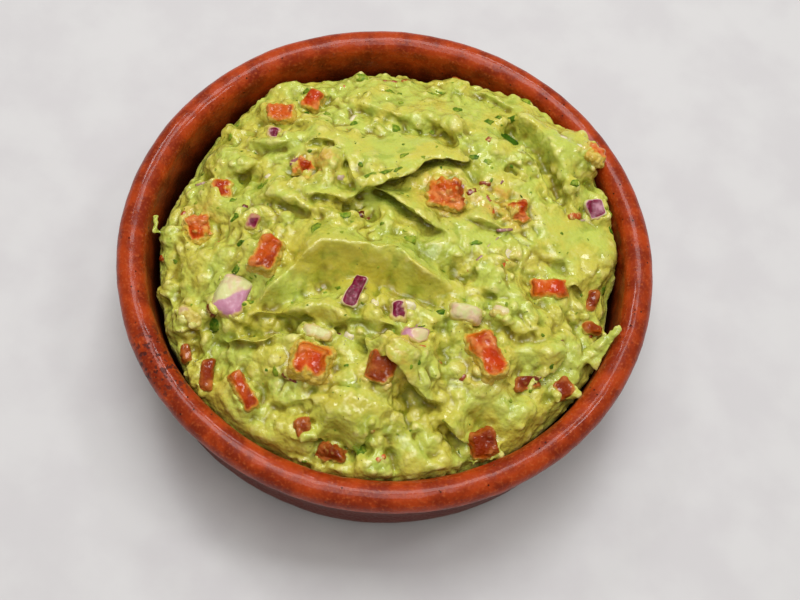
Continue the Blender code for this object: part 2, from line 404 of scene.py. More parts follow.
# %% [markdown]
# ## The dish
#
# The dish was thrown on a wheel: it has a flat foot, a round corner, a wall that leans in a little and a
# thick rolled lip. A profile that is spun round the axis gives all of that at once. Then the points are
# moved in by a few tenths of a millimetre here and there, because a hand-thrown lip is never true, and
# those waves are what breaks up the light along it.

# %% The profile of the dish
dish_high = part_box("dish")[1]
DISH_RADIUS = dish_high.x - 0.02 * MM
DISH_HEIGHT = dish_high.z - 0.02 * MM
LIP_ROLL = 4.6 * MM
WALL = 6.0 * MM
FLOOR = 7.0 * MM
FOOT_RADIUS = 62.0 * MM
CORNER_HEIGHT = 17.0 * MM
WALL_LEAN = 1.4 * MM
LIP_INSIDE = DISH_RADIUS - 2.0 * LIP_ROLL


def rounded_corner(start, end, steps, fullness=0.72):
    """A corner that leaves the start flat and meets the end upright. Below 1 it is fuller than round."""
    turns = [0.5 * math.pi * k / steps for k in range(steps + 1)]
    return [(start[0] + (end[0] - start[0]) * math.sin(turn) ** fullness,
             start[1] + (end[1] - start[1]) * (1.0 - math.cos(turn) ** fullness)) for turn in turns]


def dish_profile():
    """Up the inside, over the rolled lip and down the outside, as radius and height."""
    inner_low = (FOOT_RADIUS - 1.5 * WALL, FLOOR)
    inner_high = (LIP_INSIDE - WALL_LEAN, FLOOR + CORNER_HEIGHT)
    inside = rounded_corner(inner_low, inner_high, 10)
    middle = (DISH_RADIUS - LIP_ROLL, DISH_HEIGHT - LIP_ROLL)
    turns = [math.radians(245.0) * turn / 30 for turn in range(31)]
    lip = [(middle[0] - LIP_ROLL * math.cos(turn), middle[1] + LIP_ROLL * math.sin(turn)) for turn in turns]
    outer_high = (LIP_INSIDE + WALL - WALL_LEAN, CORNER_HEIGHT)
    outside = rounded_corner((FOOT_RADIUS, 0.0), outer_high, 10)
    return [(0.0, FLOOR)] + inside + lip + outside[::-1] + [(0.0, 0.0)]


def wall_radius(height):
    """The inner radius of the dish at a height up to the middle of its lip."""
    profile = dish_profile()[1:13]
    return np.interp(height, [z for _, z in profile], [r for r, _ in profile])


# %% Turn the dish
SPIN_STEPS = 300


def turn_dish():
    """Spin the profile round the upright axis."""
    work = bmesh.new()
    line = [work.verts.new((radius, 0.0, height)) for radius, height in dish_profile()]
    edges = [work.edges.new(pair) for pair in zip(line, line[1:])]
    bmesh.ops.spin(work, geom=line + edges, cent=(0, 0, 0), axis=(0, 0, 1), angle=2.0 * math.pi,
                   steps=SPIN_STEPS, use_merge=True)
    bmesh.ops.remove_doubles(work, verts=work.verts, dist=0.05 * MM)
    bmesh.ops.recalc_face_normals(work, faces=work.faces)
    return mesh_from(work, "turned_dish")


def hand_thrown(mesh):
    """Move the surface in by a few tenths of a millimetre, more in some places than in others."""
    spots = places(mesh)
    dent = 0.20 + 0.22 * waves(spots, 14 * MM) + 0.12 * waves(spots, 3.5 * MM, 5.0)
    off_the_foot = ease((spots[:, 2] - 1 * MM) / (3 * MM))
    place_all(mesh, spots - outward(mesh) * (np.clip(dent, 0.0, 0.6) * off_the_foot * MM)[:, None])
    return mesh


dish_mesh = hand_thrown(turn_dish())
print("dish:", len(dish_mesh.polygons), "faces")

# %% [markdown]
# ## The glaze of the dish
#
# Clear glaze over red clay looks orange where it is thin, on the lip, and dark brown where it pooled, down
# the walls. Down the walls it is also painted darker than pooling alone makes it, nearly black inside the
# dish, which is painted shade. It is never even: it is mottled at a few millimetres, has pin holes with soot
# in them, and is chipped along the inner edge of the lip where spoons have knocked it. Height and distance
# from the axis tell the finish where the lip is, and noise does the rest.


# %% Mix the glaze
CHIPS = (-56 * MM, -47 * MM, DISH_HEIGHT - LIP_ROLL)


def glaze():
    """The mottled glaze, darker down the walls from pooled glaze and painted shade, with its pin holes. Also
    what its wear is made from.
    """
    clay = Finish("glazed terracotta", Coat_Roughness=0.12, Specular_IOR_Level=0.1)
    where = own_place(clay)
    split = clay.node("SeparateXYZ", None, {"Vector": where}, out="Z")
    height = split * (1.0 / DISH_HEIGHT)
    mottle = cloud(clay, where, 7 * MM, 5.0)
    fine = cloud(clay, where, 0.9 * MM, 3.0)
    colour = mix(clay, step(clay, mottle, 0.36, 0.64), paint(126, 36, 5), paint(170, 60, 14))
    colour = mix(clay, step(clay, fine, 0.5, 0.75) * 0.45, colour, paint(196, 98, 48))
    # Painted shade: the walls grow darker towards the foot, partly pooled glaze and partly painted shade,
    # nearly black on the inside of the dish.
    pooled_and_shaded = 1.0 - step(clay, height + mottle * 0.12, 0.66, 0.97)
    across = vector(clay, 'LENGTH', vector(clay, 'MULTIPLY', where, (1.0, 1.0, 0.0)), out="Value")
    outside = step(clay, across, LIP_INSIDE + 1 * MM, LIP_INSIDE + 3 * MM)
    colour = mix(clay, pooled_and_shaded * 0.9, colour, mix(clay, outside, paint(34, 7, 1), paint(86, 24, 5)))
    holes = 1.0 - step(clay, cells(clay, where, 2.6 * MM), 0.07, 0.13)
    few = step(clay, cloud(clay, where, 9 * MM, 2.0), 0.46, 0.56)
    hole = holes * few
    colour = mix(clay, hole * 0.85, colour, paint(38, 22, 18))
    return clay, where, colour, mottle, fine, hole, pooled_and_shaded


def chipped(clay, where, mottle):
    """Where the glaze is scratched through: along the inner edge of the lip at the front left."""
    near = vector(clay, 'LENGTH', vector(clay, 'SUBTRACT', where, CHIPS), out="Value")
    scratches = cloud(clay, where, 1.6 * MM, 5.0)
    return (1.0 - step(clay, near, 7 * MM, 16 * MM)) * step(clay, scratches + mottle * 0.3, 0.66, 0.74)


def finish_dish():
    clay, where, colour, mottle, fine, hole, pooled_and_shaded = glaze()
    chips = chipped(clay, where, mottle)
    colour = mix(clay, chips * 0.8, colour, paint(64, 34, 34))
    relief = bump(clay, cloud(clay, where, 2.0 * MM, 3.0) * 0.6 + fine * 0.55 - hole * 0.5 - chips * 0.5,
                  0.42 * MM, 1.0)
    shine = 0.3 - chips * 0.25 - hole * 0.2 - pooled_and_shaded * 0.32
    return clay.wear(Base_Color=colour, Roughness=fine * 0.3 + 0.25, Coat_Weight=shine, Normal=relief)


put_in_scene("turned_dish", dish_mesh, finish_dish(), "glazed_terracotta", "dish")

# %% [markdown]
# ## The folds of the heap
#
# Guacamole that is turned over with a spoon lies in sheets. Each has a crest, where the paste tore or
# curled, a face below it and a hollow at its foot that holds the shadow. Thirty such folds are what makes
# this heap and no other. Sculpting them by hand would do, but nobody could repeat it, so each is written
# down: the line of its crest, walked with the face on the right hand, and its measures in millimetres.
# Grooves and mounds fill in between. All of them move one fine sheet, up and also sideways, so that a
# crest can lean out over its hollow.

# %% The rim of the heap
HEAP_TOP = 50.0
# The heap's edge round the dish: the direction in degrees, the distance from the middle and the height.
HEAP_EDGE = (
    (0, 65.5, 35), (9, 69.0, 37), (18, 69.0, 38), (30, 68.5, 40), (40, 71.5, 43), (50, 70.0, 41),
    (65, 69.0, 38), (76, 66.0, 38), (90, 63.5, 37), (118, 63.5, 37), (130, 67.0, 37), (145, 65.5, 36),
    (162, 63.5, 35), (180, 66.0, 34), (200, 65.5, 33), (222, 67.5, 34), (245, 68.5, 35),
    (270, 69.2, 37), (290, 69.0, 36), (302, 66.5, 34), (327, 67.0, 35), (342, 67.0, 36),
)


def heap_edge(angle):
    """How far out and how high the edge of the heap is in a direction, in millimetres."""
    angles = [row[0] for row in HEAP_EDGE]
    return [np.interp(angle, angles, [row[k] for row in HEAP_EDGE], period=360.0) for k in (1, 2)]


# %% Lines on the heap
def smooth_path(points, steps=6):
    """A Catmull-Rom curve through the given points, as an array."""
    points = np.array(points, dtype=float)
    points = np.vstack([2 * points[0] - points[1], points, 2 * points[-1] - points[-2]])
    t = (np.arange(steps) / steps)[:, None]
    path = [0.5 * (2 * b + (c - a) * t + (2 * a - 5 * b + 4 * c - d) * t ** 2
                   + (3 * b - a - 3 * c + d) * t ** 3)
            for a, b, c, d in zip(points, points[1:], points[2:], points[3:])]
    return np.vstack(path + [points[-2:-1]])


def beside(x, y, path):
    """For each place: its share along a path, its distance in front of it, and the way forward.

    In front is on the right hand of someone who walks the path.
    """
    near = np.full(x.shape, 1e9)
    share, side = np.zeros(x.shape), np.zeros(x.shape)
    ahead_x, ahead_y = np.zeros(x.shape), np.zeros(x.shape)
    lengths = np.hypot(*np.diff(path, axis=0).T)
    gone = np.concatenate([[0.0], np.cumsum(lengths)])
    for start, end, length, before in zip(path, path[1:], lengths, gone):
        ax, ay = (end - start) / length
        rx, ry = x - start[0], y - start[1]
        run = np.clip(rx * ax + ry * ay, 0.0, length)
        away = np.hypot(rx - run * ax, ry - run * ay)
        closer = away < near
        near = np.where(closer, away, near)
        share = np.where(closer, (before + run) / gone[-1], share)
        side = np.where(closer, np.where(rx * ay - ry * ax < 0, -1.0, 1.0), side)
        ahead_x, ahead_y = np.where(closer, ay, ahead_x), np.where(closer, -ax, ahead_y)
    return share, near * side, ahead_x, ahead_y


# %% How a fold moves the paste
FOLDS = {}


def fold(name, *points, rise, behind, face, lean, under, hollow, floor, dies=(0.25, 0.25), sharp=False):
    """Write down a fold. All measures but the last two are in millimetres.

    It rises so high, slopes off so far behind and has so wide a face. Its crest leans out, its face cuts
    under, and the hollow has a depth and a floor so wide. It dies away over these shares of its ends.
    """
    FOLDS[name] = (smooth_path(points), rise, behind, face, lean, under, hollow, floor, dies, sharp)


def fold_moves(x, y, path, rise, behind, face, lean, under, hollow, floor, dies, sharp):
    """How a fold moves each place, as x, y and z."""
    share, side, ahead_x, ahead_y = beside(x, y, path)
    alive = ease(share / dies[0]) * ease((1.0 - share) / dies[1])
    if sharp:
        face = face * (0.2 + 0.8 * np.sin(math.pi * share))
    slope = np.exp(-(np.abs(np.minimum(side, 0.0)) / behind) ** (1.1 if sharp else 2.0))
    drop = 1.0 - (1.0 - np.clip(side / face, 0.0, 1.0)) ** 1.5 if sharp else ease(side / face)
    foot = np.exp(-(np.maximum(side - face, 0.0) / floor) ** 2)
    up = np.where(side < 0.0, rise * slope, rise * (1.0 - drop) - hollow * drop * foot)
    forward = np.where(side < 0.0, lean * slope, lean * (1.0 - drop) - under * drop * foot)
    return forward * alive * ahead_x, forward * alive * ahead_y, up * alive


# %% The folds in the middle
fold("upper sheet, left edge", (-43, 19.5), (-37, 22), (-31, 24.5), (-26, 27.5), (-20.5, 28.5), (-17.5, 25.5),
     (-15.5, 20.5), (-13, 15.5), (-11, 11),
     rise=3.0, behind=10, face=1.8, lean=0.8, under=0.8, hollow=1.6, floor=3.2, dies=(0.3, 0.08))
fold("upper sheet, right edge", (-9, 13), (-5, 16), (-1, 18.8), (1.5, 21.5), (4, 25.5), (8, 28), (13, 29.3),
     (18, 28.8), (21, 31.5),
     rise=4.0, behind=11, face=1.2, lean=2.8, under=3.2, hollow=5.0, floor=3.8, dies=(0.12, 0.16))
fold("lower sheet", (-12, 12), (-8, 13.4), (-3, 13.2), (2, 10.8), (5, 8.8), (8, 6.5), (12, 4.5), (18, 2.5),
     rise=3.2, behind=2.4, face=1.2, lean=1.8, under=2.6, hollow=4.4, floor=3.2, dies=(0.06, 0.3))
fold("string of paste", (-28, 7.5), (-21, 8.8), (-15, 9.6), (-10, 12.4),
     rise=2.0, behind=2.4, face=1.2, lean=0.8, under=1.4, hollow=2.4, floor=2.6, dies=(0.3, 0.08))
fold("tongue", (-36, -28), (-32, -22), (-28.5, -17), (-25, -12.5), (-22, -9), (-19.5, -6.8), (-15, -6.2),
     (-10, -5.8), (-4, -5.2), (1, -4.7), (5, -5.5), (10, -9.2), (14.5, -11.5), (19, -12.6), (24, -12.5),
     rise=6.0, behind=5.0, face=13.0, lean=1.6, under=0.0, hollow=5.0, floor=4.0, dies=(0.06, 0.2),
     sharp=True)
fold("ridge before the tongue", (-41, -31), (-34, -29.5), (-28, -28), (-20, -28), (-13, -29), (-8, -28.5),
     (-3, -27),
     rise=3.0, behind=6.5, face=2.6, lean=0.8, under=1.6, hollow=3.4, floor=3.4, dies=(0.15, 0.2))
fold("ledge of the purple dice", (-5, -26.5), (1, -28), (8, -27.8), (14, -26), (20, -22.5),
     rise=2.2, behind=4.5, face=1.4, lean=0.8, under=1.2, hollow=2.4, floor=2.4, dies=(0.2, 0.25))
fold("slab over the dark dice", (-1.5, -31.5), (-0.8, -35), (2, -38), (6, -39.5), (10, -42), (14.5, -45),
     (19, -46.5), (25, -46),
     rise=3.4, behind=7, face=1.4, lean=1.4, under=2.2, hollow=4.6, floor=4.0, dies=(0.08, 0.25))
fold("lump by the sheet", (-43, 9), (-36, 7.2), (-29, 5.8), (-22, 4.2), (-15, 5),
     rise=2.4, behind=6, face=3.2, lean=0.8, under=1.0, hollow=1.8, floor=3.0)
fold("behind the far dice", (20, 12), (28, 9), (37, 10), (44, 16),
     rise=1.6, behind=4.5, face=1.6, lean=0.4, under=0.6, hollow=1.6, floor=2.6)

# %% The folds at the back
fold("spoon edge at the back", (-25, 44), (-15, 46), (-6, 44), (3, 43.5), (11, 43), (16, 38.5), (19.5, 33),
     rise=2.0, behind=8, face=3.2, lean=0.6, under=0.4, hollow=2.0, floor=3.0, dies=(0.2, 0.15))
fold("back ridge", (28, 56), (34, 52), (40.5, 46), (46, 38.5), (50, 31), (53, 24), (55.5, 17),
     rise=3.8, behind=7, face=4.6, lean=0.8, under=0.4, hollow=3.0, floor=3.2, dies=(0.2, 0.2))
fold("second back ridge", (32, 41), (37.5, 36.5), (42, 31), (45, 25.5), (47, 19),
     rise=1.8, behind=3.2, face=1.8, lean=0.5, under=0.6, hollow=1.4, floor=2.4)
fold("right back lump", (17, 62), (23, 59.5), (29, 56.5), (33, 54),
     rise=1.8, behind=4, face=1.6, lean=0.4, under=0.6, hollow=1.6, floor=2.2)
fold("lump behind the sheet", (-49, 29), (-43, 26), (-37, 26), (-32, 29.5),
     rise=2.0, behind=5, face=1.8, lean=0.6, under=0.8, hollow=2.0, floor=2.4)
fold("far left lump", (-62, 25), (-58, 18), (-52, 15.5), (-46, 17.5), (-42.5, 21.5),
     rise=2.6, behind=6, face=2.4, lean=0.8, under=1.0, hollow=2.0, floor=2.6)
fold("ridge over the pink dice", (-48, 40), (-43, 36), (-36, 34.5), (-29, 37.5),
     rise=1.6, behind=4, face=1.6, lean=0.4, under=0.6, hollow=1.6, floor=2.2)

# %% The folds on the right
fold("right lobe", (43, -2.5), (50, -3.8), (56, -3), (60.5, -1), (64.5, 3.5), (68, 9), (69.5, 15), (69, 21),
     rise=2.8, behind=9, face=1.4, lean=1.4, under=2.2, hollow=3.6, floor=3.0, dies=(0.2, 0.2))
fold("cheek", (34, -31.5), (38, -34), (42.5, -35), (47, -33), (51, -29.5), (53.5, -25), (54, -19),
     rise=4.4, behind=7, face=1.4, lean=2.2, under=2.6, hollow=4.6, floor=3.2, dies=(0.15, 0.25))
fold("right cheek", (52, -37.5), (57, -35), (61, -30.5), (63, -24), (61.5, -18),
     rise=2.4, behind=7, face=1.6, lean=1.0, under=1.2, hollow=2.2, floor=2.8)
fold("cheek, upper", (27, -11.5), (35, -12.5), (43, -11),
     rise=1.8, behind=4, face=1.6, lean=0.6, under=0.8, hollow=1.4, floor=2.4)
fold("right of the long dice", (35, -18.5), (41, -22.5), (47, -19),
     rise=1.8, behind=4, face=1.4, lean=0.6, under=0.8, hollow=1.6, floor=2.4)
fold("small lobe on the right", (40, 7), (46, 4), (53, 4.5),
     rise=1.2, behind=4, face=1.6, lean=0.4, under=0.4, hollow=1.2, floor=2.2)

# %% The folds at the front
fold("front lobe", (21, -50), (28, -53.5), (36, -54.5), (42, -53), (47.5, -49.5), (51.5, -44), (54, -38),
     rise=4.2, behind=11, face=1.5, lean=1.8, under=2.6, hollow=5.0, floor=3.4, dies=(0.15, 0.2))
fold("arch", (-21, -61), (-16, -62.5), (-11.5, -60.5), (-5, -60), (1, -60.8), (5, -59),
     rise=2.2, behind=6, face=1.6, lean=1.8, under=3.0, hollow=7.5, floor=2.8, dies=(0.3, 0.1))
fold("front lump, left side", (7, -54), (3.5, -58), (1.5, -63), (2, -68), (3.5, -73),
     rise=2.0, behind=4, face=1.3, lean=0.8, under=0.8, hollow=2.2, floor=2.4, dies=(0.2, 0.2))
fold("left bank", (-46, -33), (-41.5, -37), (-36, -38.5), (-30, -37), (-24, -34),
     rise=2.6, behind=4, face=1.6, lean=0.8, under=1.2, hollow=2.4, floor=2.8)
fold("ridge by the strip", (-39, -39), (-43, -44.5), (-41.5, -51), (-36.5, -56.5), (-29, -61.5),
     rise=2.2, behind=4.5, face=1.6, lean=0.8, under=0.8, hollow=2.4, floor=2.6)
fold("front left wave", (-34, -59), (-27, -62.5), (-19, -65), (-12, -64),
     rise=1.8, behind=3.5, face=1.4, lean=0.6, under=0.6, hollow=1.8, floor=2.2)
fold("below the strip", (-27, -52.5), (-20, -53.5), (-13, -52),
     rise=1.4, behind=4, face=1.4, lean=0.5, under=0.6, hollow=1.8, floor=2.2)
print("folds:", len(FOLDS))

# %% Grooves and mounds
# Each groove is a line with its depth and half width, and each mound a middle, a radius and a height.
GROOVES = (
    (((-6, 0), (3, -0.5), (9, -3.5), (15, -7), (22, -8.5)), 3.4, 4.4),
    (((33, 44), (38, 39), (43, 33), (47, 26)), 1.8, 2.8),
    (((32.5, 29.5), (36, 28.5)), 2.8, 1.6),
    (((-13, 8), (-7, 6.5)), 4.2, 2.4),
    (((-22, 37), (-12, 35), (-4, 38), (5, 40), (12, 38)), 2.0, 2.6),
    (((30, 46), (31.5, 42)), 2.6, 2.0),
    (((56, 33), (59, 37), (63, 36)), 2.6, 3.0),
    (((-47, 15), (-44, 11), (-42, 14)), 2.2, 1.8),
    (((9, -46), (13, -51), (15, -56)), 2.2, 1.6),
    (((17, -57), (19, -60), (23, -60.5)), 2.0, 1.4),
    (((8, -59), (10.5, -62.5), (13, -67), (16, -71)), 3.0, 1.3),
    (((19.5, -22), (21, -28), (20.5, -34)), 2.4, 1.8),
    (((-46, -33), (-42, -36.5), (-38, -35), (-31, -35), (-24, -32.5)), 4.4, 1.8),
    (((-61, -12), (-59, -22), (-54, -30)), 1.6, 1.6),
    (((44, 8), (48, 3), (56, 1)), 1.2, 2.2),
    (((-16, -32.5), (-11, -31.5)), 3.0, 1.6),
    (((21, 24), (24, 21), (28, 22)), 1.8, 1.6),
    (((-56, 40), (-50, 33), (-44, 32)), 1.4, 1.8),
    (((57, -14), (58, -20), (64, -24)), 1.8, 1.8),
    (((-55, -38), (-47, -49), (-38, -57)), 1.8, 1.4),
    (((-40, -60), (-30, -65), (-18, -69)), 1.6, 1.3),
    (((-14, -61.5), (-6, -62), (4, -60.5)), 5.0, 1.7),
)
MOUNDS = (
    (-24, 18, 8, 3.6), (-51, 22, 7, 2.4), (-41, 29, 6, 1.8), (-46, 9, 5, 1.4), (-33, 11, 7, 2.2),
    (-57, -14, 6, 1.6), (-50, -14, 6, 1.4), (-28, -42, 6, 1.6), (-37, -42, 5, 2.0), (14, -34, 6, 1.8),
    (44, -16, 7, 2.0), (56, -22, 6, 2.0), (52, 45, 7, 2.0), (36, 35, 6, 1.4), (63, 27, 5, 1.6),
    (-42, 52, 6, 2.4), (36, 61, 6, 2.0), (13, 63, 5, 2.0), (-14, 55, 7, 1.4), (12, 15, 7, 1.6),
    (6, 3, 4, 1.6), (-2, 2, 4, 1.2), (32, -4, 6, 2.2), (-30, 36, 7, 1.4), (-7, 40, 5, 1.6),
    (-10, -54, 8, 3.2), (1, -53, 8.5, 3.7), (21, -63, 9, 2.6), (5, -66, 5, 1.8), (-24, -65, 6, 1.0),
    (-50, -44, 5, 1.6), (-33, -33, 5, 1.0), (-20, 1, 5, 1.2), (26, 36, 5, 1.4), (33, 17, 6, 1.2),
    (47, -24, 5, 1.2), (-56, 8, 6, 1.2),
)

# Paste that laps over a die: a middle, a radius and a height, laid on after the dice have their seats.
LAPS = (
    (9.5, -38.5, 7, 6.0), (46, -30.5, 6, 2.4), (53, -30.5, 5, 2.0), (31, -52.5, 5.5, 2.6), (54, 41, 5.5, 3.6),
    (-20, -60, 4, 1.6), (57.5, -3, 5, 2.8), (60, -9.5, 4, 2.4), (-53, 5, 5, 2.4), (-51, 13, 4, 1.6),
    (-37, -11, 4.5, 1.6), (-26, 24, 4.5, 2.4), (14, 22.5, 5.5, 2.6), (35.5, 15.5, 3.4, 4.6),
    (9.5, 11, 4, 2.4), (-29, -46.5, 4, 1.6), (-50, -29.5, 4, 1.6), (-40.5, 1.5, 3, 1.6),
    (6.5, -36.5, 4.6, 5.0), (24, -27, 4, 1.4),
)

# %% [markdown]
# ## The surface that the folds add up to
#
# The folds are laid one over the other on a flat dome. A crest that followed its line exactly would look
# cut with a knife. So the places are first moved a little to and fro with noise, and every edge of a sheet
# comes out torn and wavy. Round a die the paste is drawn to the height at which the die sits in it.

# %% Where the dice sit
# How far up each die the paste reaches, as a share of its height. The rest take the usual share.
USUAL_LEVEL = 0.58
PASTE_LEVEL = {
    "tomato_front_cube": 0.30, "tomato_long": 0.42, "tomato_left_wedge": 0.42, "tomato_strip": 0.4,
    "tomato_dark": 0.45, "tomato_right": 0.5, "tomato_under_sheet": 0.3, "tomato_centre_right": 0.42,
    "red_onion_purple_bar": 0.12, "red_onion_left_big": 0.42, "tomato_near_lip": 0.4,
    "red_onion_right": 0.42, "red_onion_pink": 0.4, "red_onion_white": 0.4, "red_onion_centre": 0.45,
    "tomato_far_left_high": 0.42, "tomato_far_left_low": 0.42, "tomato_left_front": 0.5,
    "tomato_at_front": 0.45, "tomato_edge_strip": 0.5, "tomato_right_hollow": 0.4,
    "tomato_under_cheek": 0.4, "tomato_left_wall": 0.4, "tomato_far_right": 0.4,
    "tomato_left_upper": 0.5,
}
dice = [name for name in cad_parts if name.startswith(("tomato_", "red_onion_"))]


def seats():
    """For each die: its middle, how far it reaches and the height of the paste round it, in millimetres."""
    for name in dice:
        low, high = (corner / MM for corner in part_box(name))
        level = low.z + PASTE_LEVEL.get(name, USUAL_LEVEL) * (high.z - low.z)
        yield name, 0.5 * (low + high), 0.5 * math.hypot(high.x - low.x, high.y - low.y), level


# %% Add up the folds
def warped(x, y):
    """The places moved a little to and fro, which tears every line that is drawn over them."""
    flat = np.stack([x, y, np.zeros(x.shape)], axis=-1)
    moved = [0.9 * waves(flat, 6.0, 11.0 * k) + 0.55 * waves(flat, 2.4, 11.0 * k + 5.0) for k in (1, 2)]
    return x + moved[0], y + moved[1]


def close_to(x, y, path, reach):
    """Which places lie in the box round a path. The others need no work."""
    low, high = path.min(axis=0) - reach, path.max(axis=0) + reach
    return (x > low[0]) & (x < high[0]) & (y > low[1]) & (y < high[1])


def heap_surface(x, y):
    """The folded top of the heap over the flat places x and y, all in millimetres."""
    radius, edge = heap_edge(np.degrees(np.arctan2(y, x)) % 360.0)
    share = np.clip(np.hypot(x, y) / radius, 0.0, 1.0)
    z = edge + (HEAP_TOP - edge) * (1.0 - share ** 2.4)
    calm = np.clip((1.0 - share) / 0.08, 0.0, 1.0)
    moved = [x.copy(), y.copy(), z]
    torn_x, torn_y = warped(x, y)
    for path, rise, behind, face, *rest in FOLDS.values():
        close = close_to(x, y, path, 2.6 * max(behind, face + 3.0))
        moves = fold_moves(torn_x[close], torn_y[close], path, rise, behind, face, *rest)
        for k, change in enumerate(moves):
            moved[k][close] += change * (calm[close] if k < 2 else 0.4 + 0.6 * calm[close])
    for points, depth, width in GROOVES:
        _, side, _, _ = beside(torn_x, torn_y, smooth_path(points))
        moved[2] -= depth * np.exp(-(side / width) ** 2)
    for middle_x, middle_y, radius, height in MOUNDS:
        away = np.hypot(torn_x - middle_x, torn_y - middle_y) / radius
        moved[2] += height * np.exp(-1.4 * away ** 3)
    for _, middle, reach, level in seats():
        away = np.hypot(moved[0] - middle.x, moved[1] - middle.y) / (0.9 * reach + 0.8)
        moved[2] += (level - moved[2]) * np.exp(-away ** 4)
    for middle_x, middle_y, radius, height in LAPS:
        away = np.hypot(torn_x - middle_x, torn_y - middle_y) / radius
        moved[2] += height * np.exp(-1.2 * away ** 2.6)
    return moved


# %% Where the paste is smooth
# Where the spoon left it smooth: middle, half length, half width, turn and how smooth.
SMOOTH = (
    (3, 29, 22, 9, 8, 0.8), (6, 50, 30, 7, -10, 0.5), (-6, -13, 22, 8, -6, 1.0),
    (14, -13, 12, 5, -20, 0.8), (-27, -20, 9, 5, 50, 0.8), (41, 44, 26, 5, -48, 0.7),
    (55, 12, 15, 10, 10, 0.85), (36, -45, 19, 8, 20, 0.45), (20, -62, 9, 6, 0, 0.45),
    (-3, -54, 10, 6, 0, 0.45), (50, -26, 9, 7, 0, 0.35), (-20, -26, 16, 4, 0, 0.55),
    (0, 11, 12, 4, -20, 0.8), (28, 5, 12, 4, 10, 0.5), (-44, 50, 6, 5, 0, 0.5), (-37, -40, 5, 4, 0, 0.4),
)


def within(x, y, rows):
    """How far inside the ovals each place is: 1 well inside, 0 outside, times the strength of the oval."""
    most = np.zeros(x.shape)
    for middle_x, middle_y, long, wide, turn, strength in rows:
        c, s = math.cos(math.radians(turn)), math.sin(math.radians(turn))
        along = ((x - middle_x) * c + (y - middle_y) * s) / long
        across = ((y - middle_y) * c - (x - middle_x) * s) / wide
        most = np.maximum(most, strength * ease(1.5 - 1.1 * np.hypot(along, across)))
    return most


def smoothness(x, y):
    """How smooth the paste is at each place, 0 to 1: where the spoon slid, and along the crests."""
    calm = within(x, y, SMOOTH)
    for path, *_ in FOLDS.values():
        close = close_to(x, y, path, 4.0)
        share, side, _, _ = beside(x[close], y[close], path)
        crest = np.exp(-(side / 2.2) ** 2) * ease(4.0 * share) * ease(4.0 - 4.0 * share)
        calm[close] = np.maximum(calm[close], 0.55 * crest)
    return calm


# %% Where the paste is stained, and where shade is painted on it
# Olive where it was smeared thin, and as painted shade on the faces that turn from the light, such as the
# tongue's; ruddy round the tomatoes and green where the herbs gathered. Each oval is written as for the
# smooth places.
STAINS_AND_SHADE = {
    "olive_and_shade": ((-10, -13, 22, 7, -6, 1.0), (14, -15, 10, 4, -20, 0.8), (-20, -29, 18, 5, 0, 0.5),
              (30, -52, 20, 7, 15, 0.25), (-5, -56, 12, 6, 0, 0.6), (10, -44, 8, 5, -40, 0.5)),
    "ruddy": ((14, 16, 9, 8, 0, 0.9), (31, 17, 11, 7, -20, 0.8), (-25, 18, 8, 6, 0, 0.8),
              (-57, 0, 7, 6, 60, 0.6), (5, -42, 8, 7, 0, 0.5), (-15, -44, 9, 7, 0, 0.5),
              (33, -34, 8, 9, -60, 0.5), (-40, 40, 8, 6, 0, 0.4), (-35, -52, 7, 6, -50, 0.3),
              (58, 40, 6, 6, 0, 0.6), (38, 1, 5, 5, 0, 0.3), (12, -33, 9, 3, 0, 0.4)),
    "green": ((8, -3, 13, 3.5, -15, 0.9), (20, 26, 6, 3, 0, 0.7), (-4, 12, 6, 3, 20, 0.8),
              (31, 43, 6, 4, 60, 0.9), (-44, -36, 6, 3, -30, 0.8), (-31, 47, 6, 3, -45, 0.5),
              (-45, 12, 5, 4, 60, 0.6), (-20, -3, 6, 3, 60, 0.5), (56, 34, 5, 4, 0, 0.5),
              (10, -54, 4, 5, 0, 0.6), (3, -63, 3, 6, 0, 0.7), (-15, 3, 8, 3, 0, 0.4),
              (21, -28, 3, 7, 0, 0.6), (47, 8, 6, 3, 0, 0.4), (-8, 40, 8, 4, 0, 0.4),
              (-56, 26, 5, 4, 0, 0.4)),
}


# %% [markdown]
# ## Sculpt the paste
#
# The folded sheet gets its chunks next: lumps of avocado that the fork missed. Each is a squashed ball,
# sunk until only its top shows. More of them are pushed up round the dice, a few drops stick to the wall,
# and a small wedge leans on the lip. A voxel remesh makes one skin of all that touches, and a short melt
# takes off the voxel steps. Last comes the relief, as moves of the fine points, because modelled pebbles
# would be far too many: broad swells, and pebbles of two sizes with creases between them where the paste
# is rough, and hardly any where the spoon slid over it.


# %% Draw out the sheet
def next_row(work, rim, goal):
    """Extrude an open rim once and give back the new one.

    The goal turns a point's distance from the axis and its height into the new distance and height.
    """
    made = bmesh.ops.extrude_edge_only(work, edges=rim)["geom"]
    rim = [edge for edge in made if isinstance(edge, bmesh.types.BMEdge) and edge.is_boundary]
    for vert in {vert for edge in rim for vert in edge.verts}:
        across = math.hypot(vert.co.x, vert.co.y)
        reach, height = goal(across, vert.co.z)
        vert.co = (vert.co.x * reach / across, vert.co.y * reach / across, height)
    return rim


def outwards_and_down(fall):
    """The goal for a row that falls so far, sloping out to the wall of the dish."""
    def goal(across, height):
        return min(across + 0.5 * fall, wall_radius(height - fall) - 0.15 * MM), height - fall
    return goal


SIDE_FALLS = (5.0 * MM, 5.0 * MM, 6.0 * MM)


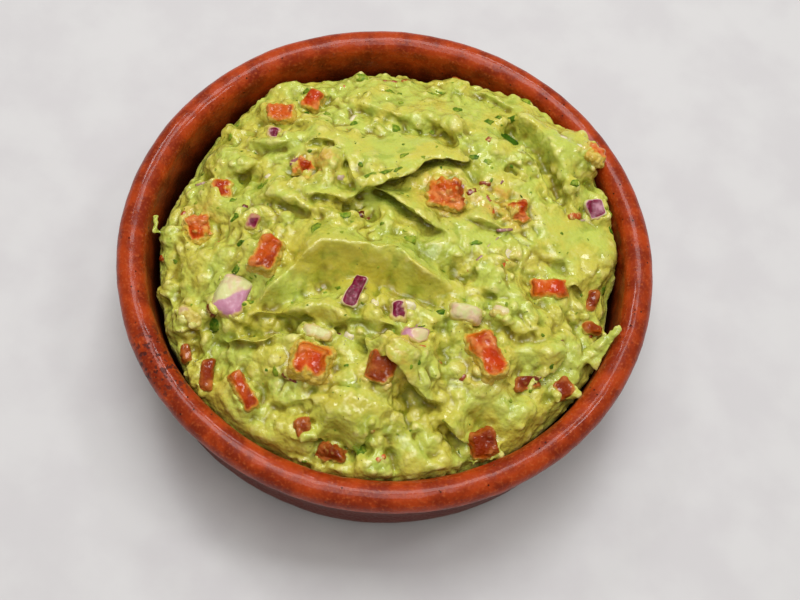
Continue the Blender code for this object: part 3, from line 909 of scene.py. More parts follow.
def paste_blank(steps=420):
    """A square sheet drawn out to a round one, folded, and closed below."""
    work = bmesh.new()
    bmesh.ops.create_grid(work, x_segments=steps, y_segments=steps, size=1.0)
    grid = np.array([tuple(vert.co) for vert in work.verts])
    u, v = grid[:, 0], grid[:, 1]
    x, y = u * np.sqrt(1.0 - 0.5 * v * v), v * np.sqrt(1.0 - 0.5 * u * u)
    radius, _ = heap_edge(np.degrees(np.arctan2(y, x)) % 360.0)
    moved = heap_surface(x * radius, y * radius)
    for vert, spot in zip(work.verts, zip(*moved)):
        vert.co = Vector(spot) * MM
    rim = [edge for edge in work.edges if edge.is_boundary]
    for fall in SIDE_FALLS:
        rim = next_row(work, rim, outwards_and_down(fall))
    bmesh.ops.holes_fill(work, edges=rim)
    bmesh.ops.recalc_face_normals(work, faces=work.faces)
    return work


# %% Lumps of avocado
# Lumps lie above this height, and only where the paste faces up at least by this share.
LUMPS_ABOVE = 32.0 * MM
LUMPS_UPRIGHT = 0.35


def lump_spots(work, sizes, tries, crowding, seed):
    """Places for lumps on the top of the paste: the spot, the way out and the radius of each."""
    luck = random.Random(seed)
    work.verts.ensure_lookup_table()
    picked = [work.verts[luck.randrange(len(work.verts))] for _ in range(tries)]
    calm = smoothness(*(np.array([vert.co[k] / MM for vert in picked]) for k in (0, 1)))
    taken = np.zeros((0, 4))
    chosen = []
    for vert, smooth in zip(picked, calm):
        radius = luck.triangular(*sizes) * MM * (1.0 - 0.4 * smooth)
        if vert.co.z < LUMPS_ABOVE or vert.normal.z < LUMPS_UPRIGHT or luck.random() < 2.2 * smooth:
            continue
        if len(taken) and np.any(np.linalg.norm(taken[:, :3] - vert.co, axis=1)
                                 < crowding * (taken[:, 3] + radius)):
            continue
        taken = np.vstack([taken, [*vert.co, radius]])
        chosen.append((vert.co.copy(), vert.normal.copy(), radius))
    return chosen


def lumps(chosen, sink, seed):
    """A squashed ball set into the paste at each chosen spot."""
    luck = random.Random(seed)
    ball = bmesh.new()
    bmesh.ops.create_icosphere(ball, subdivisions=2, radius=1.0)
    mesh, one = many(ball, len(chosen))
    spots = []
    for spot, way, radius in chosen:
        turn = Euler([luck.uniform(0.0, 3.1) for _ in range(3)]).to_matrix()
        shape = turn @ Matrix.Diagonal([radius * luck.uniform(0.7, 1.35) for _ in range(3)])
        middle = spot - way * radius * (sink + luck.uniform(-0.2, 0.2))
        spots.append(one @ np.array(shape).T + np.array(middle))
    place_all(mesh, np.vstack(spots))
    return mesh


# %% Paste pushed up round the dice
def die_tree(name):
    """A die's solid in a form that lines can be shot at."""
    work = bmesh.new()
    work.from_mesh(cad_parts[name].data)
    tree = BVHTree.FromBMesh(work)
    work.free()
    return tree


def banks(seed):
    """Small lumps of paste round the sides of each die, where lines shot at it from outside hit it."""
    luck = random.Random(seed)
    chosen = []
    for name, middle, reach, level in seats():
        tree = die_tree(name)
        for _ in range(round(2.6 * reach)):
            turn = luck.uniform(0.0, 2.0 * math.pi)
            way = Vector((math.cos(turn), math.sin(turn), 0.0))
            height = level + luck.uniform(-0.8, 0.9)
            start = (Vector((middle.x, middle.y, height)) + 3.0 * reach * way) * MM
            hit = tree.ray_cast(start, -way)[0]
            if hit:
                chosen.append((hit, way, luck.uniform(0.7, 1.7) * MM))
    return chosen


# %% A wedge on the lip and splashes on the wall
# The wedge's two ends, and for each splash its middle and its radius, in millimetres.
WEDGE_FOOT, WEDGE_TIP = (62.5, -24.0, 36.0), (70.0, -14.5, 43.6)
SPLASHES = ((-69.7, -1.4, 38.0, 1.0), (-69.6, -2.7, 37.2, 1.0), (-69.4, -3.9, 36.5, 1.1),
            (-69.0, -5.2, 36.0, 1.3))


def wedge_on_the_lip():
    """A slice of paste that slid off the heap and leans its point on the lip."""
    foot, tip = Vector(WEDGE_FOOT) * MM, Vector(WEDGE_TIP) * MM
    work = bmesh.new()
    bmesh.ops.create_cone(work, cap_ends=True, segments=5, radius1=4.6 * MM, radius2=1.0 * MM,
                          depth=(tip - foot).length)
    bmesh.ops.transform(work, matrix=Matrix.Diagonal((1.0, 0.6, 1.0, 1.0)), verts=work.verts)
    turn = (tip - foot).to_track_quat('Z', 'Y').to_matrix().to_4x4()
    bmesh.ops.transform(work, matrix=Matrix.Translation(0.5 * (foot + tip)) @ turn, verts=work.verts)
    return mesh_from(work, "wedge")


def splashes():
    """Drops of paste that stick to the wall of the dish."""
    chosen = []
    for x, y, z, radius in SPLASHES:
        spot = Vector((x, y, z)) * MM
        chosen.append((spot, Vector((-x, -y, 0.0)).normalized(), radius * MM))
    return chosen


# %% Cut off what nobody sees
def cut_flat(mesh, height, floor):
    """Take away all that lies hidden below a height and close the solid with a plain foot."""
    work = bmesh.new()
    work.from_mesh(mesh)
    everything = work.verts[:] + work.edges[:] + work.faces[:]
    bmesh.ops.bisect_plane(work, geom=everything, plane_co=(0, 0, height), plane_no=(0, 0, 1),
                           clear_inner=True)
    rim = [edge for edge in work.edges if edge.is_boundary]
    for level in (0.5 * (height + floor), floor):
        below = (wall_radius(level) - 0.3 * MM, level)
        rim = next_row(work, rim, lambda *_: below)
    bmesh.ops.holes_fill(work, edges=rim)
    work.to_mesh(mesh)
    work.free()


# %% Grow the paste together
HIDDEN_BELOW = 29.0 * MM
PASTE_FLOOR = 12.0 * MM
PASTE_SQUARES = 0.46 * MM
# The least, the most and the usual radius of a lump in millimetres.
LARGE, SMALL = (2.4, 4.8, 3.0), (1.1, 2.2, 1.5)
clock = time.time()
blank = paste_blank()
blank.normal_update()
large = lump_spots(blank, LARGE, tries=900, crowding=0.66, seed=1)
small = lump_spots(blank, SMALL, tries=1000, crowding=0.62, seed=2)
blank.from_mesh(lumps(large, sink=0.78, seed=3))
blank.from_mesh(lumps(small, sink=0.82, seed=4))
blank.from_mesh(lumps(banks(seed=6), sink=0.0, seed=7))
blank.from_mesh(lumps(splashes(), sink=0.0, seed=8))
blank.from_mesh(wedge_on_the_lip())
blank_mesh = mesh_from(blank, "paste blank")
print("lumps:", len(large), "large and", len(small), "small in", round(time.time() - clock, 1), "s")
paste_mesh = remeshed(blank_mesh, PASTE_SQUARES)
melt(paste_mesh, 2)
cut_flat(paste_mesh, HIDDEN_BELOW, PASTE_FLOOR)
print("paste:", len(paste_mesh.polygons), "squares in", round(time.time() - clock, 1), "s")


# %% Give the paste its relief
DOME = 4.8 * MM
PASTE_TRIANGLES = 197000
# How far each point of the paste stands out, over how many rounds of melting: fine, middling and broad.
HEIGHTS = {"line": 3, "crest": 10, "rise": 40}


def relief(spots, calm):
    """How far the surface stands out at each spot, in metres."""
    rough = 1.0 - calm
    broad = 0.8 * waves(spots, 9.0 * MM, 5.0) * (0.3 + 0.7 * rough)
    swell = 0.6 * waves(spots, 6.0 * MM) * (0.45 + 0.55 * rough)
    ripple = 0.13 * waves(spots, 2.4 * MM, 9.0)
    vigour = np.clip(0.85 + 1.0 * waves(spots, 10 * MM, 2.0), 0.3, 1.3)
    coarse = 1.05 * (ease(1.4 * pebbles(spots, DOME)) - 0.7) * vigour * rough
    patchy = 0.5 + 0.9 * waves(spots, 11 * MM, 8.0)
    fine = 0.28 * (pebbles(spots, 2.4 * MM, 4.0) - 0.55) * (0.25 + 0.75 * rough) * np.clip(patchy, 0.1, 1.0)
    return (broad + swell + ripple + coarse + fine) * MM


def below_the_top(spots, start=53.0 * MM, limit=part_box("guacamole")[1].z - 0.1 * MM):
    """Press down what stands higher than the start, so that nothing passes the limit."""
    room = limit - start
    over = np.maximum(spots[:, 2] - start, 0.0)
    spots[:, 2] -= over - room * (1.0 - np.exp(-over / room))
    return spots


def thinned(mesh, triangles):
    """The same mesh with fewer and larger triangles where it is flat."""
    return evaluated_copy(mesh, 'DECIMATE', ratio=min(1.0, 0.5 * triangles / len(mesh.polygons)))


spots = places(paste_mesh)
out = relief(spots, smoothness(spots[:, 0] / MM, spots[:, 1] / MM)) * (spots[:, 2] > HIDDEN_BELOW + 0.5 * MM)
place_all(paste_mesh, below_the_top(spots + outward(paste_mesh) * out[:, None]))
melt(paste_mesh, 3)
paste_mesh = thinned(paste_mesh, PASTE_TRIANGLES)
spots = places(paste_mesh)
note(paste_mesh, "calm", smoothness(spots[:, 0] / MM, spots[:, 1] / MM))
note(paste_mesh, "dome", pebbles(spots, DOME))
for height, rounds in HEIGHTS.items():
    note(paste_mesh, height, standing_out(paste_mesh, rounds))
for tint, rows in STAINS_AND_SHADE.items():
    note(paste_mesh, tint, within(spots[:, 0] / MM, spots[:, 1] / MM, rows))
print("paste:", len(paste_mesh.polygons), "faces in", round(time.time() - clock, 1), "s")

# %% [markdown]
# ## The finish of the paste
#
# Crushed avocado runs from butter yellow to leaf green. Light and shade are painted on top of that: the
# crests and the tops of the lumps are painted pale, which is painted highlight, and the creases and hollows
# are painted dark olive, which is painted shade, as is part of the olive smeared on faces turned from the
# light. A plain noise would put those colours anywhere. The mesh kept how far each point stands out of its
# surroundings, over three distances, and those numbers put them where they belong. A bump of tiny stones,
# deeper where the paste is rough, and a patchy wet film give the sparkle.


# %% Mix the paste
def mix_paste():
    """Flesh with its olive smears, partly painted shade, then the painted highlight on the crests, the
    painted shade in the hollows, the green of the herbs and the wet film.
    """
    paste = Finish("crushed avocado", Coat_Roughness=0.08, Specular_IOR_Level=0.25, Subsurface_Weight=0.2,
                   Subsurface_Radius=(1.0, 0.8, 0.25), Subsurface_Scale=0.9 * MM)
    where = own_place(paste)
    crest, rise, calm = (noted(paste, name) for name in ("crest", "rise", "calm"))
    line, dome = noted(paste, "line"), noted(paste, "dome")
    rough = 1.0 - calm * 0.8
    patches = cloud(paste, where, 9 * MM)
    blots = cloud(paste, where, 3.6 * MM)
    grain = cloud(paste, where, 1.1 * MM, 2.0)
    flesh = mix(paste, step(paste, patches, 0.4, 0.6), paint(200, 194, 78), paint(188, 199, 86))
    # Painted shade: the olive smears are partly paste smeared thin and partly painted shade on faces turned
    # from the light, such as the tongue's.
    flesh = mix(paste, noted(paste, "olive_and_shade") * 0.7, flesh, paint(186, 170, 44))
    # Painted highlight: the crests and the tops of the lumps are painted pale, with random pale blots among
    # them.
    light = step(paste, blots * 0.6 + crest * 0.9 + (dome - 0.6) * rough * 0.2, 0.34, 0.78)
    flesh = mix(paste, light, flesh, paint(226, 219, 134))
    ruddy = noted(paste, "ruddy") * step(paste, cloud(paste, where, 4.5 * MM), 0.4, 0.6)
    flesh = mix(paste, ruddy * 0.75, flesh, paint(220, 150, 60))
    # Painted shade: the hollows, the creases and the fine lines between lumps are painted dark olive.
    low = blots * 0.3 - rise * 0.5 - crest * 0.9 - line * 1.2 + (0.5 - dome) * rough * 0.15
    flesh = mix(paste, step(paste, low, 0.26, 1.0) * 0.85, flesh, paint(116, 98, 3))
    herbal = cloud(paste, where, 5 * MM, 4.0) - rise * 0.14 + noted(paste, "green") * 0.25
    herbal = step(paste, herbal, 0.54, 0.68)
    flesh = mix(paste, herbal * 0.36, flesh, paint(112, 142, 22))
    specks = 1.0 - step(paste, cells(paste, where, 2.2 * MM), 0.06, 0.12)
    few = step(paste, cloud(paste, where, 6 * MM, 1.0), 0.5, 0.58)
    flesh = mix(paste, specks * few * 0.8, flesh, paint(74, 92, 14))
    stir = paste.node("TexNoise", None, {"Vector": where, "Scale": 1.0 / (2.5 * MM), "Detail": 1.0},
                      out="Color")
    stirred = paste.node("VectorMath", {"operation": 'SCALE'}, {0: stir, "Scale": 1.6 * MM})
    # Painted shade: the borders between chunks are painted darker where the paste is rough.
    chunks = cells(paste, vector(paste, 'ADD', where, stirred), 1.9 * MM)
    flesh = mix(paste, step(paste, chunks, 0.45, 0.75) * rough * 0.14, flesh, paint(128, 122, 12))
    stones = 1.0 - cells(paste, where, 1.3 * MM)
    depth = (stones * 0.5 + grain * 0.2 - chunks * 0.4) * (rough * 0.75 + 0.25) + grain * 0.14
    wet = step(paste, blots + grain * 0.5, 0.5, 0.85)
    return paste.wear(Base_Color=flesh, Roughness=0.5 - wet * 0.32, Coat_Weight=wet * 0.65 + 0.03,
                      Normal=bump(paste, depth, 0.7 * MM, 0.75))


# %% A flat map for the paste
def map_from_above(mesh):
    """A map of the paste as seen from above, with the sides spread out round it."""
    corners = gathered(mesh.loops, "vertex_index", 1, np.int32).ravel()
    spots = places(mesh)
    across = np.maximum(np.hypot(spots[:, 0], spots[:, 1]), 1e-6)
    reach = across + np.maximum(HIDDEN_BELOW + 1 * MM - spots[:, 2], 0.0)
    flat = 0.5 + spots[:, :2] * (reach / across)[:, None] / (180 * MM)
    layer = mesh.uv_layers.new(name="OFBake")
    layer.data.foreach_set("uv", flat[corners].astype(np.float32).ravel())


map_from_above(paste_mesh)
put_in_scene("folded_guacamole", paste_mesh, mix_paste(), "crushed_avocado", "guacamole")
surface = BVHTree.FromPolygons([tuple(spot) for spot in places(paste_mesh)],
                               [tuple(face.vertices) for face in paste_mesh.polygons])

# %% [markdown]
# ## Cut the dice
#
# A die of ripe tomato has flat wet cuts, soft corners and a dull film of paste wherever it was pushed in.
# Each die starts from its own solid, which is remeshed finely and melted: a little for a firm one, so that
# the cuts stay flat and only the edges go soft, and longer for a ripe one. Where it lies close to the
# paste, the film grows on it as real thickness, and the mesh keeps how thick it is, so that the colour
# changes at the same place as the shape.


# %% The way a die lies
def top_way(mesh):
    """The direction that the top of a die faces, from its largest faces."""
    faces = [(face.area, face.normal.copy()) for face in mesh.polygons]
    return sum((area * way for area, way in faces if way.z > 0.8), Vector()).normalized()


def loose_copy(name):
    """A copy of a die's solid with its points merged."""
    work = bmesh.new()
    work.from_mesh(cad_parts[name].data)
    bmesh.ops.remove_doubles(work, verts=work.verts, dist=0.01 * MM)
    return mesh_from(work, "cut_" + name)


# %% Carve a die
DIE_SQUARES = 0.32 * MM
FILM_REACH = 2.2 * MM
FILM_THICK = 0.5 * MM
# How much narrower a die is on top than below, as a share of its width. Below 0 it is wider on top.
USUAL_NARROW = 0.22
NARROW = {"tomato_front_cube": 0.56, "tomato_long": 0.36, "tomato_left_wedge": 0.36,
          "red_onion_purple_bar": -0.28, "red_onion_right": -0.1}
# How many rounds of melting a die gets.
USUAL_SOFT = 14
SOFT = {"red_onion_left_big": 60, "red_onion_white": 40, "red_onion_pale": 40, "red_onion_pink": 30,
        "red_onion_over_cube": 40, "red_onion_centre": 30, "tomato_under_sheet": 40,
        "tomato_centre_right": 40, "tomato_beside_sheet": 40, "tomato_left_lower": 40,
        "tomato_near_lip": 30, "tomato_dark": 24, "tomato_at_front": 40, "tomato_small_front": 30}


def tapered(mesh, top, narrow):
    """Draw the upper end of a die in, so that its sides show round the cut on top."""
    spots = places(mesh)
    middle = spots.mean(axis=0)
    height = (spots - middle) @ top
    share = (height - height.min()) / (height.max() - height.min())
    level = middle + height[:, None] * top
    place_all(mesh, level + (spots - level) * (1.0 + 0.4 * narrow - narrow * share)[:, None])


def carve(name, covered, pulpy=0.0):
    """A die with soft edges, an uneven wet surface and a film of paste that creeps up its sides."""
    mesh = loose_copy(name)
    top = np.array(top_way(mesh))
    tapered(mesh, top, NARROW.get(name, USUAL_NARROW))
    mesh = remeshed(mesh, DIE_SQUARES)
    melt(mesh, SOFT.get(name, USUAL_SOFT))
    spots, ways = places(mesh), outward(mesh)
    shift = random.Random(name).uniform(0.0, 50.0)
    uneven = (0.85 + 0.9 * pulpy) * waves(spots, 5.0 * MM - 1.6 * MM * pulpy, shift)
    uneven = uneven + 0.25 * waves(spots, 1.8 * MM, shift) - 0.15
    grains = pebbles(spots, 2.6 * MM, shift)
    note(mesh, "pulp", grains)
    uneven += pulpy * 1.2 * (grains - 0.5)
    height = (spots - spots.mean(axis=0)) @ top
    upper = np.clip(ways @ top, 0.0, 1.0) * (height > 0)
    note(mesh, "upper", upper)
    note(mesh, "rim", standing_out(mesh, 12))
    away = np.array([surface.find_nearest(spot)[3] for spot in spots.tolist()])
    behind = spots[:, 1] - spots[:, 1].mean()
    creep = covered + 0.6 - 0.9 * upper - away / FILM_REACH - 0.25 * behind / FILM_REACH
    creep += 1.1 * waves(spots, 3.4 * MM, shift + 20.0) + 0.4 * waves(spots, 1.2 * MM, shift + 30.0)
    film = ease(creep / 0.9)
    thick = film * (0.4 + 1.1 * pebbles(spots, 2.2 * MM, shift))
    place_all(mesh, below_the_top(spots + ways * (uneven * MM + thick * FILM_THICK)[:, None]))
    note(mesh, "film", film)
    return mesh


# %% [markdown]
# ## The finishes of the dice
#
# The cut face of a tomato is red, its sides are orange, and a die from near the seeds is darker and browner.
# Dice that sit in hollows and under overhangs are painted darker and browner too, which is painted shade.
# So every die gets its own mix of the same few colours, which holds them together. A thin film of paste
# over red reads as orange and a thick one as the paste itself. Red onion is white flesh that turns lilac
# and then purple towards its skin. A table of shares for each die is quicker to tune than 34 materials.

# %% How each die looks
# For each tomato: how brown its red is, which is partly ripeness and, for a die in a hollow or under an
# overhang, painted shade, how much paste is on it and how pulpy it is. All are 0 to 1, but for the paste,
# where 2 covers the sides up to the cut on top.
TOMATOES = {
    "tomato_front_cube": (0.08, 2.0, 0.2), "tomato_long": (0.1, 1.5, 0.3),
    "tomato_left_wedge": (0.25, 1.4, 0.3), "tomato_strip": (0.35, 0.8, 0.1),
    "tomato_dark": (0.85, 0.5, 0.2), "tomato_right": (0.0, 0.5, 0.0),
    "tomato_under_sheet": (0.2, 1.1, 0.9), "tomato_near_lip": (0.8, 0.0, 0.3),
    "tomato_far_left_low": (0.1, 1.0, 0.4), "tomato_far_left_high": (0.1, 0.9, 0.3),
    "tomato_left_upper": (0.2, 1.0, 0.4), "tomato_left_lower": (0.2, 1.2, 0.8),
    "tomato_small_front": (0.9, 0.3, 0.5), "tomato_at_front": (0.95, 0.4, 0.7),
    "tomato_left_front": (0.8, 0.0, 0.2), "tomato_right_edge": (0.8, 0.0, 0.2),
    "tomato_edge_strip": (0.8, 0.5, 0.3), "tomato_right_hollow": (0.85, 0.2, 0.2),
    "tomato_left_wall": (0.85, 0.0, 0.2), "tomato_under_cheek": (0.9, 0.0, 0.1),
    "tomato_beside_sheet": (0.3, 1.1, 1.0), "tomato_centre_right": (0.35, 0.9, 0.9),
    "tomato_far_right": (0.1, 1.2, 0.7),
}
# For each piece of onion: how purple it is on top and at its rim, and how much paste is on it. Below 0
# it is clean.
ONIONS = {
    "red_onion_purple_bar": (1.0, 0.0, -1.2), "red_onion_left_big": (0.05, 0.45, 0.0),
    "red_onion_left_small": (0.6, 0.3, 1.1), "red_onion_right": (0.65, 0.3, -0.3),
    "red_onion_centre": (0.9, 0.2, 0.9), "red_onion_pink": (0.1, 0.6, 0.5),
    "red_onion_white": (0.0, 0.05, 0.4), "red_onion_pale": (0.0, 0.2, 0.5),
    "red_onion_over_cube": (0.05, 0.15, 0.6), "red_onion_far_left": (0.9, 0.4, 0.8),
    "red_onion_dark": (1.0, 0.9, 0.8),
}
# Skin on one side of a piece: a place on its edge in millimetres, the way it faces and how purple it is.
SKINS = {"red_onion_left_big": (-42.0, -26.5, -60, 0.62), "red_onion_pink": (10.0, -30.0, 200, 0.7),
         "red_onion_right": (57.0, 22.5, 220, 0.1)}
# A darker, riper side of a tomato: a place on its edge in millimetres and the way it faces.
RIPE_SIDES = {"tomato_left_wedge": (-33.5, -14.0, -35), "tomato_under_sheet": (16.0, 16.5, 40),
              "tomato_right": (44.8, -7.0, 192), "tomato_strip": (-32.2, -51.5, -10),
              "tomato_far_left_low": (-38.0, 40.0, 20), "tomato_centre_right": (34.0, 17.0, 120)}
RED, DEEP_RED = paint(198, 58, 2), paint(104, 34, 4)
ORANGE, DEEP_ORANGE = paint(204, 100, 14), paint(144, 62, 8)
PALE, DEEP_PALE = paint(228, 150, 84), paint(176, 98, 40)
THIN_FILM, PASTE, PALE_PASTE = paint(214, 134, 46), paint(194, 178, 62), paint(214, 206, 108)


def under_film(finish, where, flesh, thin):
    """The flesh of a die with the film of paste over it: thin at the edge, then paste."""
    film = noted(finish, "film")
    paste_colour = mix(finish, step(finish, cloud(finish, where, 1.6 * MM), 0.4, 0.65), PASTE, PALE_PASTE)
    flesh = mix(finish, step(finish, film, 0.02, 0.45) * 0.85, flesh, thin)
    return mix(finish, step(finish, film, 0.5, 1.25), flesh, paste_colour)


def beyond_line(finish, where, x, y, turn, waver, width):
    """Seen from above: 0 on the near side of a line through a place in millimetres and 1 on its far side."""
    turn = math.radians(turn)
    along = vector(finish, 'DOT_PRODUCT', where, (math.cos(turn), math.sin(turn), 0.0), out="Value")
    edge = (x * math.cos(turn) + y * math.sin(turn)) * MM
    return step(finish, along + waver, edge, edge + width)


# %% Finish a tomato
def cut_tomato(name):
    """Red on the cut, orange at the sides, pale along the edges, darker where it is ripe, and darker all
    over, both for a browner die and as painted shade for a die in a hollow or under an overhang.
    """
    deep_and_shaded, _, pulpy = TOMATOES[name]
    said = name.removeprefix("tomato_").replace("_", " ")
    tomato = Finish("tomato, " + said, Coat_Roughness=0.08, Specular_IOR_Level=0.1, Subsurface_Weight=0.08,
                    Subsurface_Radius=(1.0, 0.6, 0.2), Subsurface_Scale=0.6 * MM)
    where = own_place(tomato)
    marbled = cloud(tomato, where, 4.0 * MM)
    fine = cloud(tomato, where, 0.8 * MM, 2.0)
    # Painted shade: the first share in TOMATOES darkens the red, orange and pale of a die, partly for a
    # browner die and partly as painted shade for a die in a hollow or under an overhang.
    red, orange, pale = (between(RED, DEEP_RED, deep_and_shaded), between(ORANGE, DEEP_ORANGE, deep_and_shaded),
                         between(PALE, DEEP_PALE, deep_and_shaded))
    flesh = mix(tomato, step(tomato, noted(tomato, "upper") + marbled * 0.6, 0.85, 1.25), orange, red)
    drift = cloud(tomato, where, 8 * MM, 1.0)
    flesh = mix(tomato, step(tomato, drift, 0.44, 0.64) * 0.5, flesh, orange)
    flesh = mix(tomato, step(tomato, drift, 0.5, 0.36) * 0.45, flesh, between(red, DEEP_RED, 0.7))
    edge = noted(tomato, "rim") * 3.4 + marbled * 1.7 + pulpy * 0.16 - 0.55
    flesh = mix(tomato, step(tomato, edge, 0.4, 0.9) * 0.8, flesh, pale)
    pulp = noted(tomato, "pulp") * 0.3 + cloud(tomato, where, 1.9 * MM, 2.0) * 0.7 + 0.2 * pulpy - 0.05
    pulp = step(tomato, pulp, 0.6, 0.8) * (0.35 + 0.45 * pulpy)
    flesh = mix(tomato, pulp, flesh, between(pale, PALE_PASTE, 0.35))
    if name in RIPE_SIDES:
        ripe = beyond_line(tomato, where, *RIPE_SIDES[name], (marbled * 4.0 - 2.0) * MM, 1.4 * MM)
        flesh = mix(tomato, ripe * 0.8, flesh, between(RED, DEEP_RED, 0.7))
    flesh = under_film(tomato, where, flesh, between(THIN_FILM, DEEP_PALE, deep_and_shaded))
    shine = step(tomato, cloud(tomato, where, 1.4 * MM, 2.0), 0.5, 0.6) * 0.8
    return tomato.wear(Base_Color=flesh, Roughness=fine * 0.4 + 0.2, Coat_Weight=shine,
                       Normal=bump(tomato, marbled * 0.3 + fine * 0.8, 0.55 * MM, 0.9))


# %% Finish a piece of red onion
def cut_onion(name):
    """White flesh through lilac to purple, by what the top, the rim and the skin say."""
    purple_top, purple_rim, _ = ONIONS[name]
    said = name.removeprefix("red_onion_").replace("_", " ")
    onion = Finish("red onion, " + said, Coat_Roughness=0.06, Specular_IOR_Level=0.15, Subsurface_Weight=0.2,
                   Subsurface_Radius=(1.0, 0.7, 0.7), Subsurface_Scale=1.0 * MM)
    where = own_place(onion)
    cloudy = cloud(onion, where, 4.0 * MM, 2.0)
    veins = cloud(onion, where, 1.0 * MM, 2.0)
    white = mix(onion, step(onion, cloudy, 0.4, 0.65), paint(206, 206, 142), paint(214, 184, 150))
    purple = mix(onion, step(onion, veins, 0.35, 0.7), paint(98, 8, 34), paint(130, 26, 62))
    face = step(onion, noted(onion, "upper") - noted(onion, "rim") * 4.0, 0.2, 0.7)
    tint = mix(onion, face, grey(purple_rim), grey(purple_top))
    tint = step(onion, tint + cloudy * 0.5, 0.6, 0.95)
    if name in SKINS:
        *line, share = SKINS[name]
        skin = beyond_line(onion, where, *line, (cloudy * 3.4 - 0.9) * MM, 1.7 * MM)
        tint = mix(onion, skin, tint, grey(share))
    lilac = mix(onion, cloudy, paint(208, 160, 172), paint(180, 112, 144))
    flesh = mix(onion, step(onion, tint, 0.05, 0.5), white, lilac)
    flesh = mix(onion, step(onion, tint, 0.55, 1.0), flesh, purple)
    flesh = under_film(onion, where, flesh, between(paint(206, 190, 120), paint(184, 120, 100), purple_rim))
    shine = step(onion, veins, 0.5, 0.62) * 0.5
    return onion.wear(Base_Color=flesh, Roughness=veins * 0.3 + 0.15, Coat_Weight=shine,
                      Normal=bump(onion, veins * 0.6 + cloudy * 0.4, 0.3 * MM, 0.6))


# %% Set the dice in place
clock = time.time()
for name in dice:
    if name in TOMATOES:
        put_in_scene("cut_" + name, carve(name, *TOMATOES[name][1:]), cut_tomato(name), "tomato", name)
    else:
        put_in_scene("cut_" + name, carve(name, ONIONS[name][2]), cut_onion(name), "red_onion", name)
print("dice:", len(dice), "in", round(time.time() - clock, 1), "s")

# %% [markdown]
# ## Herbs, crumbs and pepper
#
# Chopped coriander, crumbs of tomato and onion and ground pepper are all one shape each, repeated, turned
# and stretched, so that a few dozen faces do for every one of them. Each lands where a line straight down
# meets the paste. The larger leaves and crumbs have their own places. The rest are strewn by chance, with
# a fixed seed, so that the heap comes out the same each time.


# %% Let things fall on the paste
# How far from the axis things are strewn, in millimetres.
STREWN_TO = 66.0


def settle(x, y):
    """The spot on the paste under a place in millimetres, and the way out of it."""
    hit, way, _, _ = surface.ray_cast(Vector((x * MM, y * MM, 2.0 * DISH_HEIGHT)), Vector((0, 0, -1)))
    if hit is None:
        hit, way, _, _ = surface.find_nearest(Vector((x * MM, y * MM, DISH_HEIGHT)))
    return hit, way if way.z > 0 else -way


def strew(name, work, bits, material, slot, crumple, draped=False):
    """Put a copy of a shape at each spot: long, wide and thick in millimetres, turned and sunk.

    Draped bits cling to the paste and follow every lump of it. They keep a tenth of their own shape, so
    that none of their faces is pressed to nothing.
    """
    mesh, one = many(work, len(bits))
    all_spots, tones, depths = [], [], []
    for spot, way, size, turn, sunk, tone in bits:
        along = Vector((math.cos(turn), math.sin(turn), 0.0))
        along = (along - way * along.dot(way)).normalized()
        frame_of_bit = np.array([along * size[0], way.cross(along) * size[1], way * size[2]]) * MM
        all_spots.append(one @ frame_of_bit + np.array(spot - way * sunk * size[2] * MM))
        tones += [tone] * len(one)
        depths += list((one[:, 2] - sunk) * size[2])
    spots = np.vstack(all_spots)
    ragged = np.stack([waves(spots, 1.3 * MM, 7.0 * k) for k in range(3)], axis=1)
    spots += crumple * MM * ragged
    if draped:
        touched = [surface.find_nearest(point)[:2] for point in spots.tolist()]
        clinging = np.array([on + out * (0.5 * depth + 0.15) * MM
                             for (on, out), depth in zip(touched, depths)])
        spots = 0.9 * clinging + 0.1 * spots
    place_all(mesh, spots)
    note(mesh, "tone", tones)
    print(name + ":", len(bits), "of", len(one), "points each")
    put_in_scene(name, mesh, material, slot)


def by_chance(count, seed, long, wide, thick, sunk):
    """Bits at random places, smaller ones more often than larger ones."""
    luck = random.Random(seed)
    bits = []
    for _ in range(count):
        angle, reach = luck.uniform(0.0, 2.0 * math.pi), STREWN_TO * math.sqrt(luck.random())
        x, y = reach * math.cos(angle), reach * math.sin(angle)
        spot, way = settle(x, y)
        size = [luck.triangular(*span) for span in (long, wide, thick)]
        bits.append((spot, way, size, luck.uniform(0.0, 6.3), luck.uniform(*sunk), luck.random()))
    return bits


def by_hand(rows, thick, sunk):
    """Bits at chosen places: x, y, length and width in millimetres, turn in degrees and tone."""
    bits = []
    for x, y, long, wide, turn, tone in rows:
        spot, way = settle(x, y)
        bits.append((spot, way, (long, wide, thick), math.radians(turn), sunk, tone))
    return bits


# %% Shapes to repeat
def leaf_shape():
    """A small curled leaf, one long, one wide and one thick."""
    work = bmesh.new()
    bmesh.ops.create_grid(work, x_segments=6, y_segments=3, size=0.5)
    for vert in work.verts:
        along = 2.0 * vert.co.x
        vert.co.y *= math.sqrt(max(1.0 - along * along, 0.0)) + 0.16
        vert.co.z = 0.4 - 0.5 * along * along
    bmesh.ops.solidify(work, geom=work.faces[:], thickness=0.35)
    bmesh.ops.recalc_face_normals(work, faces=work.faces)
    return work


def crumb_shape():
    """A cut crumb: a little block with its edges taken off."""
    work = bmesh.new()
    bmesh.ops.create_cube(work, size=1.0)
    bmesh.ops.bevel(work, geom=work.edges[:], offset=0.2, offset_type='OFFSET', affect='EDGES', segments=1,
                    profile=0.5, material=-1)
    return work


def grain_shape():
    """A grain of pepper: a ball with as few faces as will do."""
    work = bmesh.new()
    bmesh.ops.create_icosphere(work, subdivisions=1, radius=0.5)
    return work


